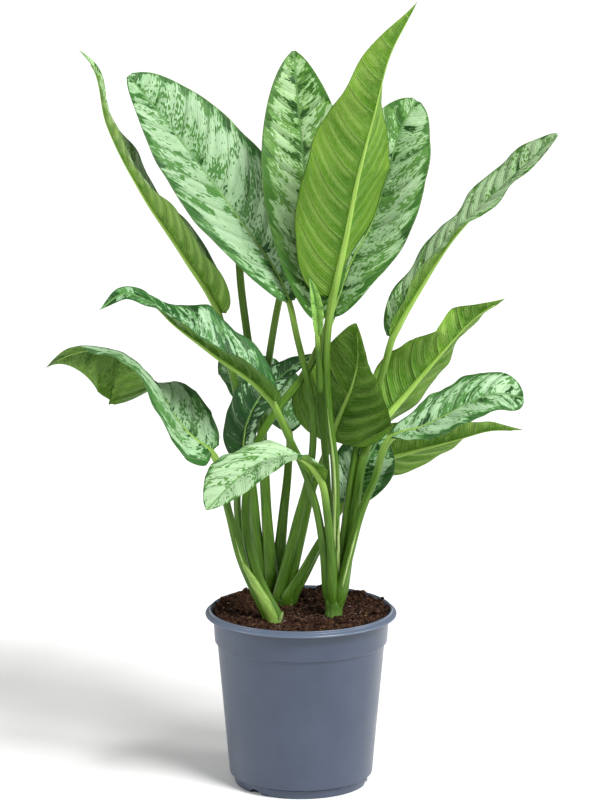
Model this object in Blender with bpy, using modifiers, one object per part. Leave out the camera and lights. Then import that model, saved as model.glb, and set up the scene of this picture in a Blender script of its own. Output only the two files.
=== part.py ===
"""Potted chinese evergreen: a variegated foliage plant in its plastic nursery pot.

The pot stands on the ground plane with its axis on Z and its rim at the top. Four shoots rise from the
soil. Each shoot is a short cane, and each leaf is one piece: a petiole that stands against its cane,
running on as the midrib of a thin blade. The plant's front looks along -Y, and +X is to its right.
"""

import math

import bmesh
import bpy
import numpy as np
from mathutils import Vector

MM = 0.001
GAP = 0.3  # between pieces that touch, mm

# the pot, mm: a rolled lip, a collar below it, a small ledge and a tapered wall on a foot ring
POT_SIDES = 40
POT_HEIGHT = 178.0
RIM_RADIUS = 95.5
LIP_HEIGHT = 6.0
LIP_REACH = 7.8
LIP_EDGE = 1.6
LIP_SLOPE = 4.6
LIP_ROUND = 1.2
COLLAR_HEIGHT = 26.5
COLLAR_TAPER = 1.6
LEDGE_DEPTH = 2.6
LEDGE_DROP = 1.6
WALL_THICKNESS = 1.8
WALL_FOOT_RADIUS = 71.5
WALL_FOOT_HEIGHT = 10.0
WALL_FOOT_ROUND = 1.5
FOOT_RADIUS = 66.5
FOOT_DRAFT = 1.0
FOOT_THICKNESS = 3.0
FLOOR_HEIGHT = 5.0
FLOOR_ROUND = 2.6
PAD_RADIUS = 30.0  # of the floor's centre, which is let down to the foot's plane
PAD_SLOPE = 2.0
LIP_BASE = POT_HEIGHT - LIP_HEIGHT
COLLAR_RADIUS = RIM_RADIUS - LIP_REACH
LEDGE_TOP = LIP_BASE - COLLAR_HEIGHT
LEDGE_RADIUS = COLLAR_RADIUS - COLLAR_TAPER
WALL_RADIUS = LEDGE_RADIUS - LEDGE_DEPTH

# round cutters under the pot, mm: drain holes through its floor, and notches through its foot ring
CUTTER_SIDES = 12
CUTTER_DEPTH = 12.0
DRAIN_HOLES = 6
DRAIN_RADIUS = 5.0
DRAIN_CIRCLE = 44.0
NOTCHES = 3
NOTCH_RADIUS = 10.0
NOTCH_TOP = 4.8
NOTCH_TURN = math.radians(-133)

# the soil, mm
SOIL_TOP = 174.5
SOIL_LUMP = 1.6
SOIL_RINGS = 7
MOUND_HEIGHT = 9.0
MOUND_SPREAD = 20.0

# canes in steps from root to top, ringed by the scars of old leaves
CANE_SHARES = np.linspace(0, 1, 11)
CANE_RINGS = 4
RING_SWELL = 0.04
CANE_BEVEL = 3

# leaf blades, mm
BLADE_THICKNESS = 0.8
BLADE_ROWS = 11
BLADE_COLUMNS = 6
BLADE_LIFT = 0.55  # of the rib's radius, from the rib's centre up to the blade
BLADE_CURL = math.radians(-24)  # by which each half arches down towards its margin
WAVE_SHIFT = 0.37  # of a wave, from the left margin to the right one
LOBE_REACH = 0.16  # of the half width, by which the base's lobes reach back
LOBE_END = 0.3  # the share of the blade's length where the lobes end

# petioles and the ribs that they run on as
RIB_END = 0.66
RIB_TIP_RADIUS = 1.1
RIB_STEPS = 6
RIB_BEVEL = 1
NECK_SHARE = 0.9  # of the neck's radius, where the rib begins
TAPER_POWER = 0.7

# canes: the axis from the root end to the top, mm, the radius, and the radius of the crown at the top,
# where the petioles stand
CANES = {
    "cane_front_left": {
        "axis": [(-25, -41, 146), (-26, -41, 170), (-34, -42, 192), (-46, -43, 215), (-58, -44, 236)],
        "radius": 5.8, "crown": 1.4,
    },
    "cane_back_left": {
        "axis": [(-30, 46, 158), (-30, 46, 183), (-30, 46, 195), (-30, 46, 205)],
        "radius": 8.0, "crown": 10.5,
    },
    "cane_middle": {
        "axis": [(-15, 22, 146), (-15, 22, 165), (-15, 22, 175), (-15, 22, 184)],
        "radius": 8.0, "crown": 10.5,
    },
    "cane_right": {
        "axis": [(32, -21, 146), (32, -21, 170), (33, -20, 190), (33, -20, 203)],
        "radius": 8.5, "crown": 9.5,
    },
}

# leaves, mm. The petiole's points (stalk) and the midrib's (rib) run from the cane to the tip. A blade is
# widest at a share of its length, and its outline narrows by a power towards the tip (point) and towards
# the base (heel, left and right). At even steps from base to tip, face is the way that the upper side
# looks, and fold lifts the left and right halves by degrees. The margins' wave is a height, a count and a
# phase, and girth is the petiole's radius at its foot and at its neck.
LEAVES = {
    "leaf_left_high": {
        "stalk": [(-38, 44, 206), (-44, 45, 240), (-48, 44, 285), (-54, 40, 335), (-66, 37, 400),
                  (-75, 34, 440)],
        "rib": [(-81, 32, 470), (-115, 32, 528), (-156, 30, 591), (-190, 26, 660), (-203, 20, 716),
                (-216, 12, 733)],
        "width": 88, "widest": 0.36, "point": 1.0, "heel": (0.7, 0.75),
        "face": [(0.85, 0.1, 0.5), (0.85, -0.1, 0.5), (0.9, -0.2, 0.4)],
        "fold": [(38, 46), (34, 28), (30, 14), (27, 8), (24, 6), (21, 6), (18, 6)],
        "wave": (3.5, 3.0, 0.1), "girth": (5.0, 4.0),
    },
    "leaf_upper_left": {
        "stalk": [(-22, 22, 185.3), (-15, 22, 215), (-4, 20, 262), (8, 14, 310), (12, 6, 350),
                  (9, 1, 395), (-4, 2, 452)],
        "rib": [(-12, 5, 487), (-67, 32, 573), (-112, 50, 630), (-150, 60, 678), (-170, 62, 702)],
        "width": 114, "widest": 0.48, "point": 0.52, "heel": (0.6, 0.6),
        "face": [(0.27, -0.9, 0.35), (0.27, -0.9, 0.35), (0.1, -0.8, 0.5)],
        "fold": [(30, 20), (30, 14), (42, 6)], "wave": (2.5, 3.5, 0.3), "girth": (4.0, 3.4),
    },
    "leaf_top_centre": {
        "stalk": [(28, -14, 204), (28, -8, 250), (25, 3, 320), (21, 5, 370), (18, 4, 420)],
        "rib": [(17, 4, 468), (10, 13, 546), (2, 23, 628), (-4, 35, 690), (-7, 48, 728)],
        "width": 92, "widest": 0.5, "point": 0.66, "heel": (0.6, 0.6),
        "face": [(0, -0.9, 0.3), (0, -0.9, 0.3), (0, -0.8, 0.5)],
        "fold": [(30, 10), (22, 10), (14, 14)], "wave": (2.5, 3.0, 0.6), "girth": (3.3, 3.6),
    },
    "leaf_top_front": {
        "stalk": [(34, -20, 204), (34, -16, 250), (33, -10, 330), (28, -8, 372), (25, -9, 415),
                  (26, -10, 460)],
        "rib": [(31, -12, 493), (43, -25, 553), (54, -42, 613), (70, -62, 680), (84, -80, 737),
                (109, -95, 788)],
        "width": 106, "widest": 0.36, "point": 1.0, "heel": (2.4, 0.6),
        "face": [(-0.45, 0.88, 0.12), (-0.45, 0.88, 0.12), (-0.45, 0.8, 0.3)],
        "fold": [(44, 30), (30, 28), (24, 26), (50, 24), (62, 20), (60, 14)],
        "wave": (3.0, 3.5, 0.0), "girth": (3.3, 4.4),
    },
    "leaf_upper_right": {
        "stalk": [
            (-25, -32.3, 180), (-36, -31.5, 202), (-46, -31, 228), (-54, -25, 265), (-53, -18, 305),
            (-42, -10, 350), (-20, 0, 384), (3, 10, 412)
        ],
        "rib": [(30, 14, 470), (50, 34, 521), (68, 48, 553), (88, 62, 611), (97, 70, 644),
                (114, 80, 676)],
        "width": 98, "widest": 0.5, "point": 0.46, "heel": (0.6, 0.6),
        "face": [(-0.1, -0.85, 0.4), (-0.1, -0.85, 0.4), (0, -0.8, 0.5)],
        "fold": [(24, 24), (20, 24), (26, 28), (50, 0)], "wave": (3.0, 3.0, 0.5), "girth": (3.8, 4.4),
    },
    "leaf_right_high": {
        "stalk": [(36, -12, 204), (42, -4, 250), (48.5, 10, 300), (55, 21, 335), (62, 25, 365),
                  (72, 24, 387), (81, 20, 415)],
        "rib": [(90, 15, 449), (119, 14, 503), (145, 12, 544), (204, 4, 607), (241, -4, 644),
                (249, -6, 652)],
        "width": 78, "widest": 0.52, "point": 0.52, "heel": (0.45, 0.6),
        "face": [(-0.73, 0, 0.68), (-0.73, 0, 0.68), (-0.7, -0.1, 0.66), (-0.7, -0.12, 0.66)],
        "fold": [(58, 26), (34, 22), (14, 14), (12, 4), (22, 2), (16, 0)],
        "wave": (3.0, 4.0, 0.77), "girth": (3.3, 4.2),
    },
    "leaf_left_middle": {
        "stalk": [(26, -21, 204), (23, -27, 240), (16, -34, 285), (4, -37, 325), (-13, -40, 363)],
        "rib": [(-28, -42, 396), (-88, -58, 449), (-124, -64, 478), (-145, -66, 498),
                (-170, -70, 506), (-193, -74, 492)],
        "width": 84, "widest": 0.36, "point": 1.0, "heel": (0.6, 0.6),
        "face": [(0.64, -0.1, 0.74), (0.64, -0.15, 0.74), (0.64, -0.15, 0.74), (0.5, 0.0, 0.85),
                 (0.2, -0.5, 0.85)],
        "fold": [(34, 18), (32, 30), (28, 36), (4, 4), (6, 6)],
        "wave": (3.0, 3.0, 0.4), "girth": (3.3, 4.0),
    },
    "leaf_left_low": {
        "stalk": [(-33, -32.3, 180), (-44, -34.5, 202), (-59, -37, 237), (-71, -38, 285)],
        "rib": [
            (-88, -38, 345), (-106, -44, 361), (-121, -48, 379), (-131, -50, 397), (-141, -48, 414),
            (-152, -44, 426), (-165, -38, 437), (-179, -32, 443), (-195, -26, 444), (-216, -20, 441),
            (-238, -16, 432), (-251, -14, 423)
        ],
        "width": 110, "widest": 0.58, "point": 1.4, "heel": (0.25, 0.28),
        "face": [
            (0.5, -0.5, 0.7), (0.5, -0.5, 0.7), (0.5, -0.45, 0.7), (0.4, -0.2, 0.85), (0.2, 0.1, 1.0),
            (0.05, 0.85, 0.5), (0.0, 0.95, 0.3), (0.0, 0.95, 0.3), (0.0, 0.9, 0.4)
        ],
        "fold": [
            (0, 20), (4, 20), (18, 8), (14, -10), (5, -68), (-54, -22), (-56, -25), (-50, 10),
            (-40, 50)
        ],
        "wave": (2.0, 3.0, 0.8), "girth": (3.6, 3.8),
    },
    "leaf_front_low": {
        "stalk": [(31, -27, 204), (30, -33, 240), (26, -38, 280)],
        "rib": [(21, -42, 313), (-2, -74, 348), (-22, -102, 352), (-41, -132, 353), (-65, -164, 341),
                (-88, -186, 321)],
        "width": 90, "widest": 0.6, "point": 0.75, "heel": (0.6, 0.6),
        "face": [(0.1, 0.65, 0.65), (0.35, 0.4, 0.7), (0.25, -0.15, 0.9), (-0.1, -0.4, 0.85),
                 (-0.3, -0.55, 0.75), (-0.35, -0.58, 0.68), (-0.4, -0.6, 0.6)],
        "fold": [(-12, 14), (-4, 4), (8, 0), (20, -4), (20, -6), (16, -4), (12, 0)],
        "wave": (1.5, 2.5, 0.2), "girth": (3.3, 3.6),
    },
    "leaf_left_inner": {
        "stalk": [
            (-29, -25.2, 184), (-41, -22.5, 205), (-51, -21, 234), (-60, -17, 262), (-63, -6, 292)
        ],
        "rib": [(-57, 10, 324), (-54, 17, 358), (-38, 21, 390), (-16, 25, 410), (13, 30, 430)],
        "width": 52, "widest": 0.42, "point": 0.9, "heel": (0.6, 0.6),
        "face": [(-0.5, -0.6, 0.6), (-0.4, -0.6, 0.6), (-0.3, -0.5, 0.8)],
        "fold": [(24, 24), (18, 18), (12, 12)], "wave": (2.0, 2.5, 0.0), "girth": (3.6, 3.4),
    },
    "leaf_back_left": {
        "stalk": [(-23, 46, 206), (-18, 47, 260), (-13, 54, 308)],
        "rib": [(-12, 68, 342), (-34, 106, 366), (-58, 152, 388), (-78, 192, 398)],
        "width": 80, "widest": 0.45, "point": 0.8, "heel": (0.6, 0.6),
        "face": [(0.1, -0.5, 0.86), (0.1, -0.5, 0.86), (0.1, -0.3, 0.9)],
        "fold": [(24, 24), (18, 18), (12, 12)], "wave": (3.0, 3.0, 0.7), "girth": (4.4, 3.8),
    },
    "leaf_centre": {
        "stalk": [(-13, 29, 185.6), (-7, 32, 212), (2, 36, 250), (10, 40, 285)],
        "rib": [
            (29, 42, 337), (39, 26, 370), (50, 12, 400), (55, 4, 421), (56, -6, 445), (54, -13, 468)
        ],
        "width": 108, "widest": 0.36, "point": 0.66, "heel": (2.0, 0.6),
        "face": [(0.3, 0.85, 0.45), (0.2, 0.85, 0.45), (0.1, 0.9, 0.4), (0.1, 0.9, 0.4)],
        "fold": [(-50, 6), (-34, 4), (-22, 4), (-46, 20), (-66, 30), (-66, 20)],
        "wave": (2.5, 3.0, 0.1), "girth": (3.8, 3.8),
    },
    "leaf_right_middle": {
        "stalk": [(42, -18, 204), (49, -8, 250), (56, 5, 295), (62, 16, 328)],
        "rib": [(76, 30, 356), (101, 42, 383), (120, 44, 405), (140, 44, 428), (178, 38, 469),
                (202, 30, 485)],
        "width": 82, "widest": 0.4, "point": 1.1, "heel": (0.6, 0.6),
        "face": [(-0.33, 0.87, 0.38), (-0.33, 0.87, 0.38), (-0.3, 0.7, 0.6)],
        "fold": [
            (30, 26), (30, 26), (28, 28), (30, 20), (36, -6), (40, -12), (36, 20), (24, 14), (16, 10)
        ], "wave": (3.0, 4.0, 0.8), "girth": (3.4, 4.8),
    },
    "leaf_right_low": {
        "stalk": [(39, -26, 204), (49, -28, 245), (60, -29, 285), (72, -29, 315)],
        "rib": [(88, -28, 357), (118, -38, 370), (140, -44, 382), (166, -48, 397), (190, -50, 405),
                (216, -46, 400)],
        "width": 84, "widest": 0.56, "point": 0.42, "heel": (0.6, 0.6),
        "face": [(-0.35, -0.55, 0.75), (-0.35, -0.55, 0.75), (-0.1, -0.5, 0.85)],
        "fold": [(0, 26), (0, 22), (-8, 20), (-8, 20), (12, 0)], "wave": (2.0, 3.0, 0.3), "girth": (3.3, 3.8),
    },
    "leaf_right_lowest": {
        "stalk": [(-8, 22, 186.1), (4, 28, 206), (20, 37, 236), (40, 58, 272)],
        "rib": [(60, 77, 304), (103, 72, 319.5), (157, 46, 340), (188, 30, 352), (221, 12, 356)],
        "width": 74, "widest": 0.36, "point": 1.0, "heel": (0.6, 0.6),
        "face": [(-0.1, 0.75, 0.65), (-0.1, 0.75, 0.65), (0, 0.5, 0.85)],
        "fold": [(-6, 36), (0, 24), (16, 16), (42, 14), (42, 12), (30, 12)],
        "wave": (2.0, 3.0, 0.2), "girth": (3.6, 3.4),
    },
    "leaf_right_inner": {
        "stalk": [(-14, 14, 186.0), (-1, 15, 206), (16, 18, 236), (31, 22, 260)],
        "rib": [(43, 26, 278), (56, 32, 300), (67, 40, 320), (76, 46, 336), (84, 50, 348)],
        "width": 64, "widest": 0.5, "point": 0.8, "heel": (0.6, 0.6),
        "face": [(0.2, -0.75, 0.55), (0.2, -0.75, 0.55), (0.2, -0.7, 0.6)],
        "fold": [(14, 30), (10, 24), (8, 12)], "wave": (2.0, 2.5, 0.5), "girth": (3.6, 3.2),
    },
    "leaf_back_high": {
        "stalk": [(-30, 38, 206), (-34, 40, 260), (-37, 42, 320), (-45, 44, 390), (-54, 46, 450),
                  (-60, 50, 500)],
        "rib": [(-62, 56, 532), (-63, 90, 560), (-66, 128, 582), (-72, 166, 592), (-77, 204, 584),
                (-80, 228, 564)],
        "width": 70, "widest": 0.45, "point": 0.8, "heel": (0.6, 0.6),
        "face": [(-0.1, -0.75, 0.6), (-0.1, -0.5, 0.85), (0, 0, 1), (0, 0.4, 0.9)],
        "fold": [(26, 26), (18, 18), (10, 10)], "wave": (3.0, 3.0, 0.9), "girth": (4.3, 4.2),
    },
    "leaf_back_top": {
        "stalk": [(-31, 54, 206), (-35, 58, 260), (-38, 60, 320), (-36, 57, 385), (-29, 52, 440)],
        "rib": [(-20, 50, 488), (-1, 74, 548), (19, 97, 604), (44, 120, 650), (66, 137, 682)],
        "width": 80, "widest": 0.45, "point": 0.8, "heel": (0.6, 0.6),
        "face": [(-0.1, -0.8, 0.5), (-0.1, -0.8, 0.5), (0, -0.6, 0.7)],
        "fold": [(26, 26), (18, 18), (10, 10)], "wave": (3.0, 3.0, 0.4), "girth": (4.3, 3.8),
    },
    "leaf_young": {
        "stalk": [(19.3, -7.5, 398), (17.5, -11, 430)],
        "rib": [(16, -14, 455), (15, -18, 480), (12, -22, 500), (8, -24, 516)],
        "width": 15, "widest": 0.45, "point": 0.9, "heel": (0.6, 0.6),
        "face": [(0.2, -0.9, 0.2), (0.2, -0.9, 0.2)],
        "fold": [(40, 40), (30, 30)], "wave": (0.0, 1.0, 0.0), "girth": (2.4, 2.2),
    },
}

# colours as the photograph shows them: base colour, roughness
FINISHES = {
    "pot": ((0.115, 0.145, 0.205), 0.42),
    "soil": ((0.045, 0.024, 0.014), 0.95),
    "cane": ((0.10, 0.20, 0.045), 0.5),
    "leaf": ((0.16, 0.34, 0.10), 0.4),
}


def curve_at(points, where):
    """Places on a smooth curve through the points, and its directions, at shares of its length."""
    knots = np.array(points, float)
    steps = np.linalg.norm(np.diff(knots, axis=0), axis=1)
    share = np.concatenate([[0.0], np.cumsum(steps)]) / steps.sum()
    slope = np.gradient(knots, share, axis=0)
    where = np.atleast_1d(where)
    span = np.clip(np.searchsorted(share, where, side="right") - 1, 0, len(steps) - 1)
    length = (share[span + 1] - share[span])[:, None]
    u = (where[:, None] - share[span][:, None]) / length
    start, end = knots[span], knots[span + 1]
    leave, arrive = slope[span] * length, slope[span + 1] * length
    place = (
        (2 * u**3 - 3 * u**2 + 1) * start
        + (u**3 - 2 * u**2 + u) * leave
        + (3 * u**2 - 2 * u**3) * end
        + (u**3 - u**2) * arrive
    )
    heading = (
        (6 * u**2 - 6 * u) * start
        + (3 * u**2 - 4 * u + 1) * leave
        + (6 * u - 6 * u**2) * end
        + (3 * u**2 - 2 * u) * arrive
    )
    return place, heading / np.linalg.norm(heading, axis=1)[:, None]


def blade_start(leaf):
    """The share of the whole stalk and rib at which the blade begins."""
    knots = np.array(leaf["stalk"] + leaf["rib"], float)
    steps = np.linalg.norm(np.diff(knots, axis=0), axis=1)
    return steps[: len(leaf["stalk"])].sum() / steps.sum()


def spread(values, t):
    """Values given at even steps from base to tip, read at t from 0 to 1."""
    values = np.array(values, float)
    stations = np.linspace(0, 1, len(values))
    return np.stack([np.interp(t, stations, column) for column in values.T], axis=-1)


def half_width(leaf, t, across):
    """The outline: round or narrow at the base, fullest at its widest place and drawn out to the tip."""
    skew = math.log(0.5) / math.log(leaf["widest"])
    swell = np.sin(math.pi * np.clip(t, 0.004, 0.997) ** skew)
    left_heel, right_heel = leaf["heel"]
    power = np.where(across < 0, left_heel, right_heel)
    power = np.where(t < leaf["widest"], power, leaf["point"])
    return leaf["width"] / 2 * swell**power


def rib_radius(leaf, t):
    """The rib under the blade thins from the petiole's neck to the tip."""
    neck = leaf["girth"][1] * NECK_SHARE
    return neck + (RIB_TIP_RADIUS - neck) * np.clip(t / RIB_END, 0, 1) ** TAPER_POWER


def blade_points(leaf, t, across):
    """Points of the blade at shares t of its length and across from -1, left, to 1, right."""
    start = blade_start(leaf)
    place, heading = curve_at(leaf["stalk"] + leaf["rib"], start + (1 - start) * t)
    face = spread(leaf["face"], t)
    face -= (face * heading).sum(1)[:, None] * heading
    face /= np.linalg.norm(face, axis=1)[:, None]
    side = np.cross(heading, face)
    fold = spread(leaf["fold"], t)
    lift = np.radians(np.where(across < 0, fold[:, 0], fold[:, 1]))
    reach = np.abs(across)
    curl = np.minimum(BLADE_CURL * np.sin(math.pi * t), -1e-3)
    width = half_width(leaf, t, across)
    begin = lift - curl / 2
    out = width / curl * (np.sin(begin + curl * reach) - np.sin(begin))
    up = -width / curl * (np.cos(begin + curl * reach) - np.cos(begin))
    height, count, phase = leaf["wave"]
    ripple = np.sin(2 * math.pi * (count * t + phase + np.where(across < 0, 0.0, WAVE_SHIFT)))
    up = up + height * ripple * reach**2 * np.sin(math.pi * t)
    up = up + BLADE_LIFT * rib_radius(leaf, t)
    lobe = -LOBE_REACH * width * reach**1.5 * np.clip(1 - t / LOBE_END, 0, 1)
    along = lobe[:, None] * heading
    return place + along + side * (out * np.sign(across))[:, None] + face * up[:, None]


def material(name, finish):
    colour, roughness = FINISHES[finish]
    made = bpy.data.materials.new(name)
    made.use_nodes = True
    shader = made.node_tree.nodes["Principled BSDF"]
    shader.inputs["Base Color"].default_value = (*colour, 1)
    shader.inputs["Roughness"].default_value = roughness
    shader.inputs["Metallic"].default_value = 0.0
    return made


def new_collection(name):
    made = bpy.data.collections.new(name)
    bpy.context.scene.collection.children.link(made)
    return made


def add_object(name, mesh, collection, finish=None):
    made = bpy.data.objects.new(name, mesh)
    collection.objects.link(made)
    if finish:
        mesh.materials.clear()
        mesh.materials.append(material(name, finish))
    return made


def mesh_from(name, bm):
    mesh = bpy.data.meshes.new(name)
    bm.to_mesh(mesh)
    bm.free()
    return mesh


def hide_cutter(cutter):
    cutter.hide_render = True
    cutter.display_type = "WIRE"


def evaluated_mesh(made):
    """The object's mesh with its modifiers applied and its caps welded."""
    graph = bpy.context.evaluated_depsgraph_get()
    mesh = bpy.data.meshes.new_from_object(made.evaluated_get(graph))
    bm = bmesh.new()
    bm.from_mesh(mesh)
    bmesh.ops.remove_doubles(bm, verts=bm.verts, dist=1e-6)
    bm.to_mesh(mesh)
    bm.free()
    return mesh


def cut(made, cutter, operation="DIFFERENCE"):
    boolean = made.modifiers.new(operation.title(), "BOOLEAN")
    boolean.operation = operation
    boolean.solver = "EXACT"
    boolean.object = cutter


def turned(name, profile, sides, collection, finish=None):
    """A closed body of revolution from radii and heights in mm that run down its outer side first."""
    bm = bmesh.new()
    verts = [bm.verts.new((radius * MM, 0, height * MM)) for radius, height in profile]
    for first, second in zip(verts, verts[1:]):
        bm.edges.new((first, second))
    made = add_object(name, mesh_from(name, bm), collection, finish)
    screw = made.modifiers.new("Turn", "SCREW")
    screw.steps = sides
    screw.render_steps = sides
    screw.use_merge_vertices = True
    screw.merge_threshold = 0.00001
    return made


def tube(name, points, radii, collection, resolution):
    """A round rod through points in mm with a radius in mm at each."""
    data = bpy.data.curves.new(name, "CURVE")
    data.dimensions = "3D"
    data.bevel_depth = MM
    data.bevel_resolution = resolution
    data.use_fill_caps = True
    spline = data.splines.new("POLY")
    spline.points.add(len(points) - 1)
    for point, place, radius in zip(spline.points, points, radii):
        point.co = (*(place * MM), 1)
        point.radius = radius
    rod = bpy.data.objects.new(name, data)
    collection.objects.link(rod)
    mesh = evaluated_mesh(rod)
    bpy.data.objects.remove(rod)
    return mesh


def inner_wall(depth, floor):
    """The pot's inner face from its lip down to its floor, at a depth in from its outer face."""
    return [
        (COLLAR_RADIUS - depth, LIP_BASE),
        (LEDGE_RADIUS - depth, LEDGE_TOP + LEDGE_DROP),
        (WALL_RADIUS - depth, LEDGE_TOP - LEDGE_DROP / 2),
        (WALL_FOOT_RADIUS - depth - WALL_FOOT_ROUND, WALL_FOOT_HEIGHT + WALL_FOOT_ROUND),
        (WALL_FOOT_RADIUS - depth - WALL_FOOT_ROUND - FLOOR_ROUND, floor),
        (PAD_RADIUS + PAD_SLOPE - depth, floor),
        (PAD_RADIUS - depth, floor - FLOOR_HEIGHT),
        (0, floor - FLOOR_HEIGHT),
    ]


def cylinder(bm, radius, turn, place):
    """A short round cutter, with its axis turned from Z, at a place in mm."""
    made = bmesh.ops.create_cone(
        bm,
        cap_ends=True,
        segments=CUTTER_SIDES,
        radius1=radius * MM,
        radius2=radius * MM,
        depth=CUTTER_DEPTH * MM,
    )
    bmesh.ops.rotate(bm, verts=made["verts"], matrix=turn.to_matrix(), cent=(0, 0, 0))
    bmesh.ops.translate(bm, verts=made["verts"], vec=place * MM)


def outward(index, count, turn):
    """The unit vector to one of a ring of evenly spaced places."""
    angle = turn + 2 * math.pi * index / count
    return Vector((math.cos(angle), math.sin(angle), 0))


def make_pot(collection, cutters):
    outer = [
        (RIM_RADIUS - LIP_SLOPE, POT_HEIGHT),
        (RIM_RADIUS - LIP_ROUND, LIP_BASE + LIP_EDGE + LIP_ROUND),
        (RIM_RADIUS, LIP_BASE + LIP_EDGE),
        (RIM_RADIUS, LIP_BASE + LIP_ROUND / 2),
        (RIM_RADIUS - LIP_ROUND, LIP_BASE),
        (COLLAR_RADIUS, LIP_BASE - LIP_ROUND / 2),
        (LEDGE_RADIUS, LEDGE_TOP),
        (WALL_RADIUS, LEDGE_TOP - LEDGE_DROP),
        (WALL_FOOT_RADIUS, WALL_FOOT_HEIGHT + WALL_FOOT_ROUND),
        (WALL_FOOT_RADIUS - WALL_FOOT_ROUND, WALL_FOOT_HEIGHT),
        (FOOT_RADIUS + FOOT_DRAFT, WALL_FOOT_HEIGHT - WALL_FOOT_ROUND),
        (FOOT_RADIUS, 0),
        (FOOT_RADIUS - FOOT_THICKNESS, 0),
        (FOOT_RADIUS - FOOT_THICKNESS - FOOT_DRAFT, FLOOR_HEIGHT),
        (PAD_RADIUS + PAD_SLOPE, FLOOR_HEIGHT),
        (PAD_RADIUS, 0),
        (0, 0),
    ]
    inner = list(reversed(inner_wall(WALL_THICKNESS, FLOOR_HEIGHT + WALL_THICKNESS)))
    inner.append((RIM_RADIUS - LIP_SLOPE - LIP_ROUND, POT_HEIGHT - LIP_ROUND / 2))
    pot = turned("pot", outer + inner + outer[:1], POT_SIDES, collection, "pot")

    upright = Vector((0, 0, 1)).to_track_quat("Z", "Y")
    bm = bmesh.new()
    for index in range(DRAIN_HOLES):
        place = outward(index + 0.5, DRAIN_HOLES, 0) * DRAIN_CIRCLE + Vector((0, 0, FLOOR_HEIGHT))
        cylinder(bm, DRAIN_RADIUS, upright, place)
    drains = add_object("drain_cutter", mesh_from("drain_cutter", bm), cutters)
    hide_cutter(drains)
    cut(pot, drains)

    bm = bmesh.new()
    for index in range(NOTCHES):
        way = outward(index, NOTCHES, NOTCH_TURN)
        place = way * (FOOT_RADIUS - FOOT_THICKNESS / 2) + Vector((0, 0, NOTCH_TOP - NOTCH_RADIUS))
        cylinder(bm, NOTCH_RADIUS, way.to_track_quat("Z", "Y"), place)
    notches = add_object("notch_cutter", mesh_from("notch_cutter", bm), cutters)
    hide_cutter(notches)
    cut(pot, notches)


def soil_height(x, y):
    """The soil's surface: lumps of peat, and a mound about the shoot at the back."""
    lumps = (
        np.sin(x * 0.11 + 1.3) * np.sin(y * 0.13 + 0.4)
        + 0.6 * np.sin(x * 0.23 - y * 0.19)
        + 0.5 * np.sin(x * 0.31 + y * 0.37 + 2.0)
    )
    mound_x, mound_y, _ = CANES["cane_back_left"]["axis"][1]
    away = (x - mound_x) ** 2 + (y - mound_y) ** 2
    mound = MOUND_HEIGHT * np.exp(-away / (2 * MOUND_SPREAD**2))
    return SOIL_TOP + SOIL_LUMP * lumps + mound


def make_soil(collection, cutters):
    """The soil fills the pot to just below its lip. Its top is a disc of rings, moved to the surface."""
    depth = WALL_THICKNESS + 2 * GAP
    edge = COLLAR_RADIUS - depth
    top = [(edge * index / SOIL_RINGS, SOIL_TOP) for index in range(SOIL_RINGS + 1)]
    side = inner_wall(depth, FLOOR_HEIGHT + WALL_THICKNESS + GAP)[1:]
    soil = turned("soil", top + side, POT_SIDES, collection)
    mesh = evaluated_mesh(soil)
    bpy.data.objects.remove(soil)
    for vertex in mesh.vertices:
        if vertex.co.z > (SOIL_TOP - 1) * MM:
            x, y = vertex.co.x / MM, vertex.co.y / MM
            vertex.co.z = soil_height(x, y) * MM
    soil = add_object("soil", mesh, collection, "soil")
    for name, cane in CANES.items():
        points, radii = cane_rod(cane, GAP)
        points[0] -= (0, 0, GAP)
        hole_name = name + "_hole"
        hole = add_object(hole_name, tube(hole_name, points, radii, cutters, CANE_BEVEL), cutters)
        hide_cutter(hole)
        cut(soil, hole)


def cane_rod(cane, extra=0.0):
    """A cane's points and radii. It is ringed, and widens to its crown or tapers to a point."""
    points, _ = curve_at(cane["axis"], CANE_SHARES)
    ring = 1 + RING_SWELL * np.cos(CANE_SHARES * 2 * math.pi * CANE_RINGS)
    radii = (cane["radius"] + (cane["crown"] - cane["radius"]) * CANE_SHARES**3) * ring
    return points, radii + extra


def make_canes(collection):
    for name, cane in CANES.items():
        points, radii = cane_rod(cane)
        add_object(name, tube(name, points, radii, collection, CANE_BEVEL), collection, "cane")


def make_blade(name, leaf):
    """The blade: a grid laid on the leaf's surface, in triangles, then thickened."""
    bm = bmesh.new()
    bmesh.ops.create_grid(bm, x_segments=BLADE_ROWS, y_segments=BLADE_COLUMNS, size=1)
    t = np.array([(vert.co.x + 1) / 2 for vert in bm.verts])
    across = np.array([vert.co.y for vert in bm.verts])
    for vert, place in zip(bm.verts, blade_points(leaf, t, across)):
        vert.co = place * MM
    bmesh.ops.triangulate(bm, faces=bm.faces)
    return mesh_from(name, bm)


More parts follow.
